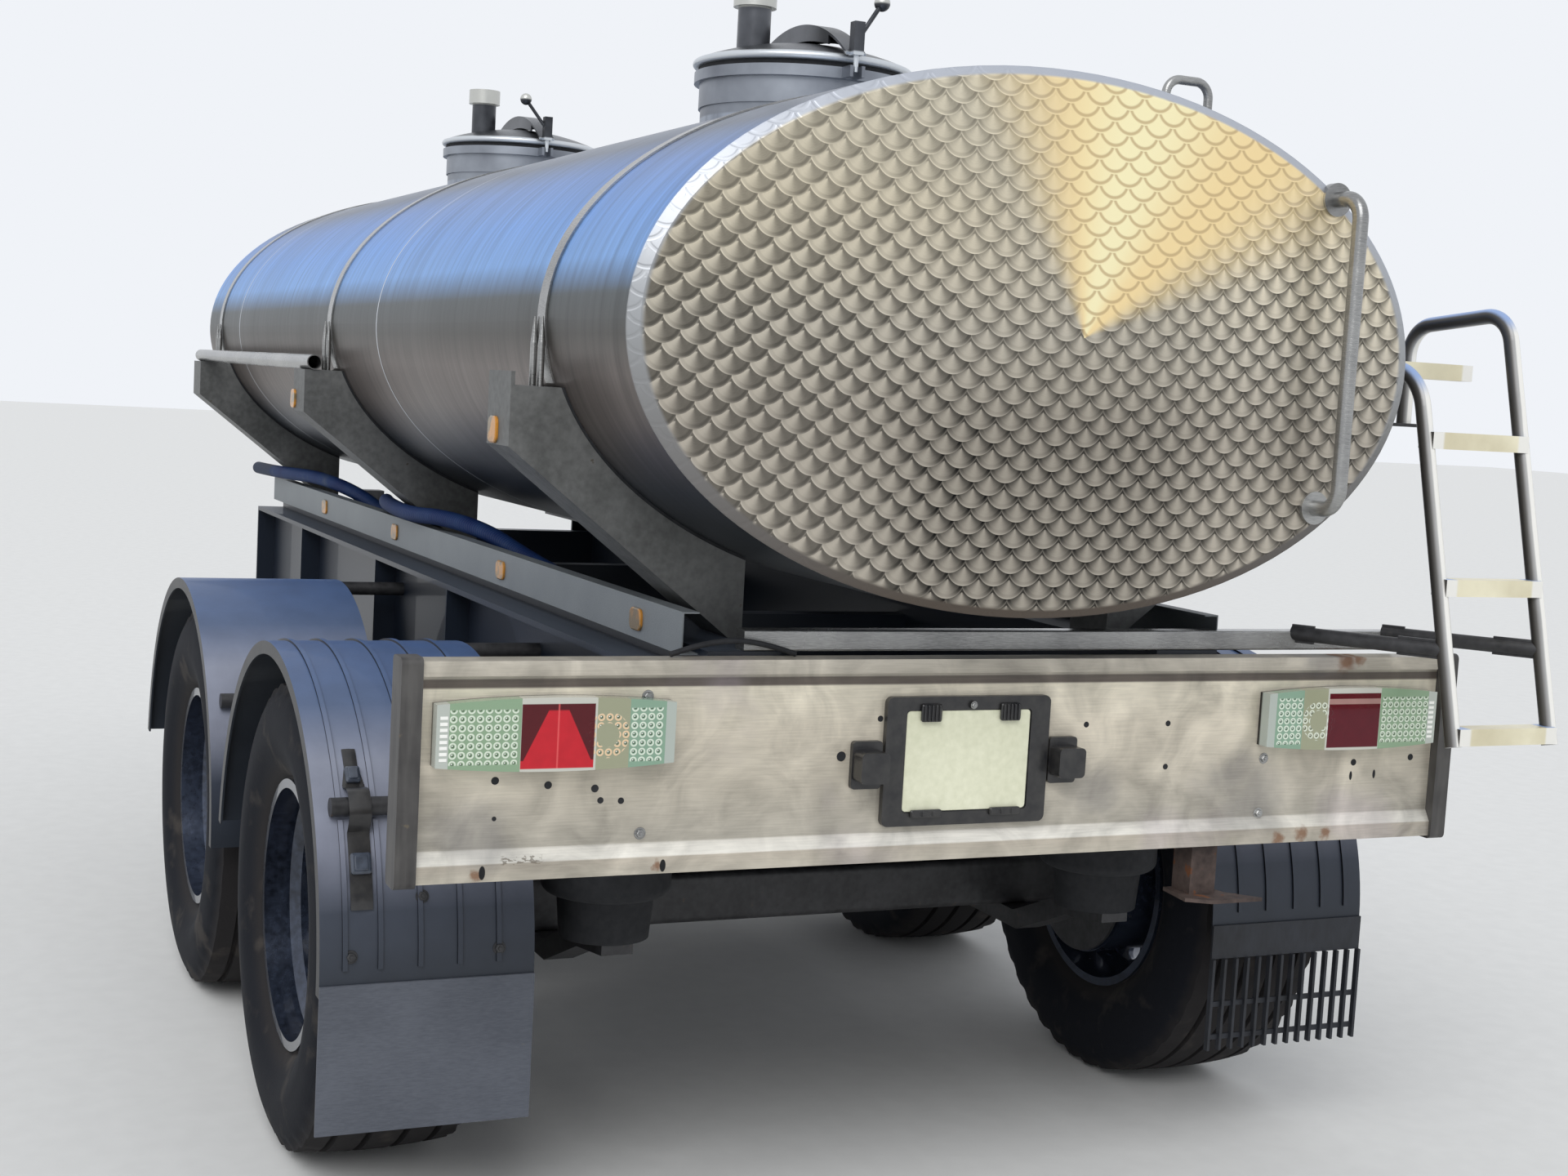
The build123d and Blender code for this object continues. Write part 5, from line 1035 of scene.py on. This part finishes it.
finish_piece("rail_reflectors", reflector_maker, amber_finish, "trailer")
print("reflectors", 2 * len(spots))

# %% [markdown]
# ## Strap, bolts and cable
# A plastic strap is pulled tight over the end of the rear stay and holds the mudguard to it, with
# a catch above the stay and one below. It is a thin band laid on the guard's round back, so it
# is built along the same circle and lifts where the stay lies under it.

# %% Strap
guard_back, strap_half, strap_y = 0.6052, 0.022, 1.183
strap_start, strap_pitch, strap_wide_from = 133, 0.5, 137
stay_at, stay_reach, stay_lift = 146, 4.6, 0.0385
rear_axle = Vector((axle_x["rear"], 0, tyre_radius))


def on_guard(degrees, lift, side_y):
    """A place over the rear-left mudguard's outer face, at an angle round its axle."""
    angle = math.radians(degrees)
    reach = guard_back + lift
    return rear_axle + Vector((math.cos(angle) * reach, side_y, math.sin(angle) * reach))


strap_maker = bmesh.new()
loops = []
for step in range(65):
    degrees = strap_start + step * strap_pitch
    over_stay = max(0.0, 1 - abs(degrees - stay_at) / stay_reach)
    lift = 0.0006 + stay_lift * math.sin(math.pi / 2 * min(1.0, over_stay * 1.5))
    widening = min(1.0, max(0.0, (degrees - strap_wide_from) / 4))
    half = strap_half * (0.62 + 0.38 * widening)
    loops.append([
        strap_maker.verts.new(on_guard(degrees, lift + rise, strap_y + side))
        for side, rise in ((-half, 0.0), (-half, 0.003), (0.0, 0.0044), (half, 0.003), (half, 0.0))
    ])
skin(strap_maker, loops)
finish_piece("stay_strap", strap_maker, black_plastic, "trailer")

buckle_finish = worn("buckle_plastic", (40, 46, 56), (74, 82, 96), 0.0, 0.3, 20.0, coat=0.4)
buckle_maker = bmesh.new()
for degrees, half_wide, half_long in ((139, 0.015, 0.018), (156.5, 0.020, 0.021)):
    square_on = Matrix.Rotation(math.radians(180 - degrees), 4, "Y")
    shape = bmesh.new()
    rounded_slab(shape, (0, 0, 0), (2 * half_wide, 2 * half_long), 0.011, 0.005)
    rounded_slab(shape, (-0.010, 0, 0), (1.3 * half_wide, 1.4 * half_long), 0.004, 0.004)
    moved = Matrix.Translation(on_guard(degrees, 0.003, strap_y))
    add_moved(buckle_maker, shape, moved @ square_on)
finish_piece("strap_buckles", buckle_maker, buckle_finish, "trailer")
print("strap rings", len(loops))

# %% [markdown]
# Three bolts below the strap hold the guard to its bracket. A short rubber cable loops out over
# the top of the lamp panel, where the lamps' wiring comes through. A cable is a round section
# carried along a line, and a half wave is near enough to the line that so short a loop takes.

# %% Bolts and cable
def tube(mesh_maker, points, radius, sides=10):
    """A round cable through points, closed at both ends."""
    rings = []
    for index, point in enumerate(points):
        before, after = points[max(index - 1, 0)], points[min(index + 1, len(points) - 1)]
        turn_to = (Vector(after) - Vector(before)).to_track_quat("Z", "Y").to_matrix()
        ring_points = []
        for side in range(sides):
            angle = 2 * math.pi * side / sides
            spot = Vector((radius * math.cos(angle), radius * math.sin(angle), 0))
            ring_points.append(mesh_maker.verts.new(Vector(point) + turn_to @ spot))
        rings.append(ring_points)
    skin(mesh_maker, rings)


bolt_maker = bmesh.new()
for degrees, bolt_y in ((163, 1.062), (173.5, 0.906), (173.5, 1.205)):
    outward = on_guard(degrees, 1.0, 0) - on_guard(degrees, 0.0, 0)
    add_nut(bolt_maker, on_guard(degrees, 0.0002, bolt_y), outward, 0.017, 0.009)
finish_piece("guard_bolts", bolt_maker, black_steel, "trailer", 20)

cable_from, cable_span, cable_rise = 0.681, 0.263, 0.026
cable_foot = 1.2225
cable_maker = bmesh.new()
cable = []
for step in range(13):
    share = step / 12
    height = cable_foot + cable_rise * math.sin(math.pi * share)
    cable.append((ahead(0.040), cable_from - cable_span * share, height))
tube(cable_maker, cable, 0.0055)
finish_piece("panel_cable", cable_maker, soft_rubber, "trailer")
print("cable points", len(cable))
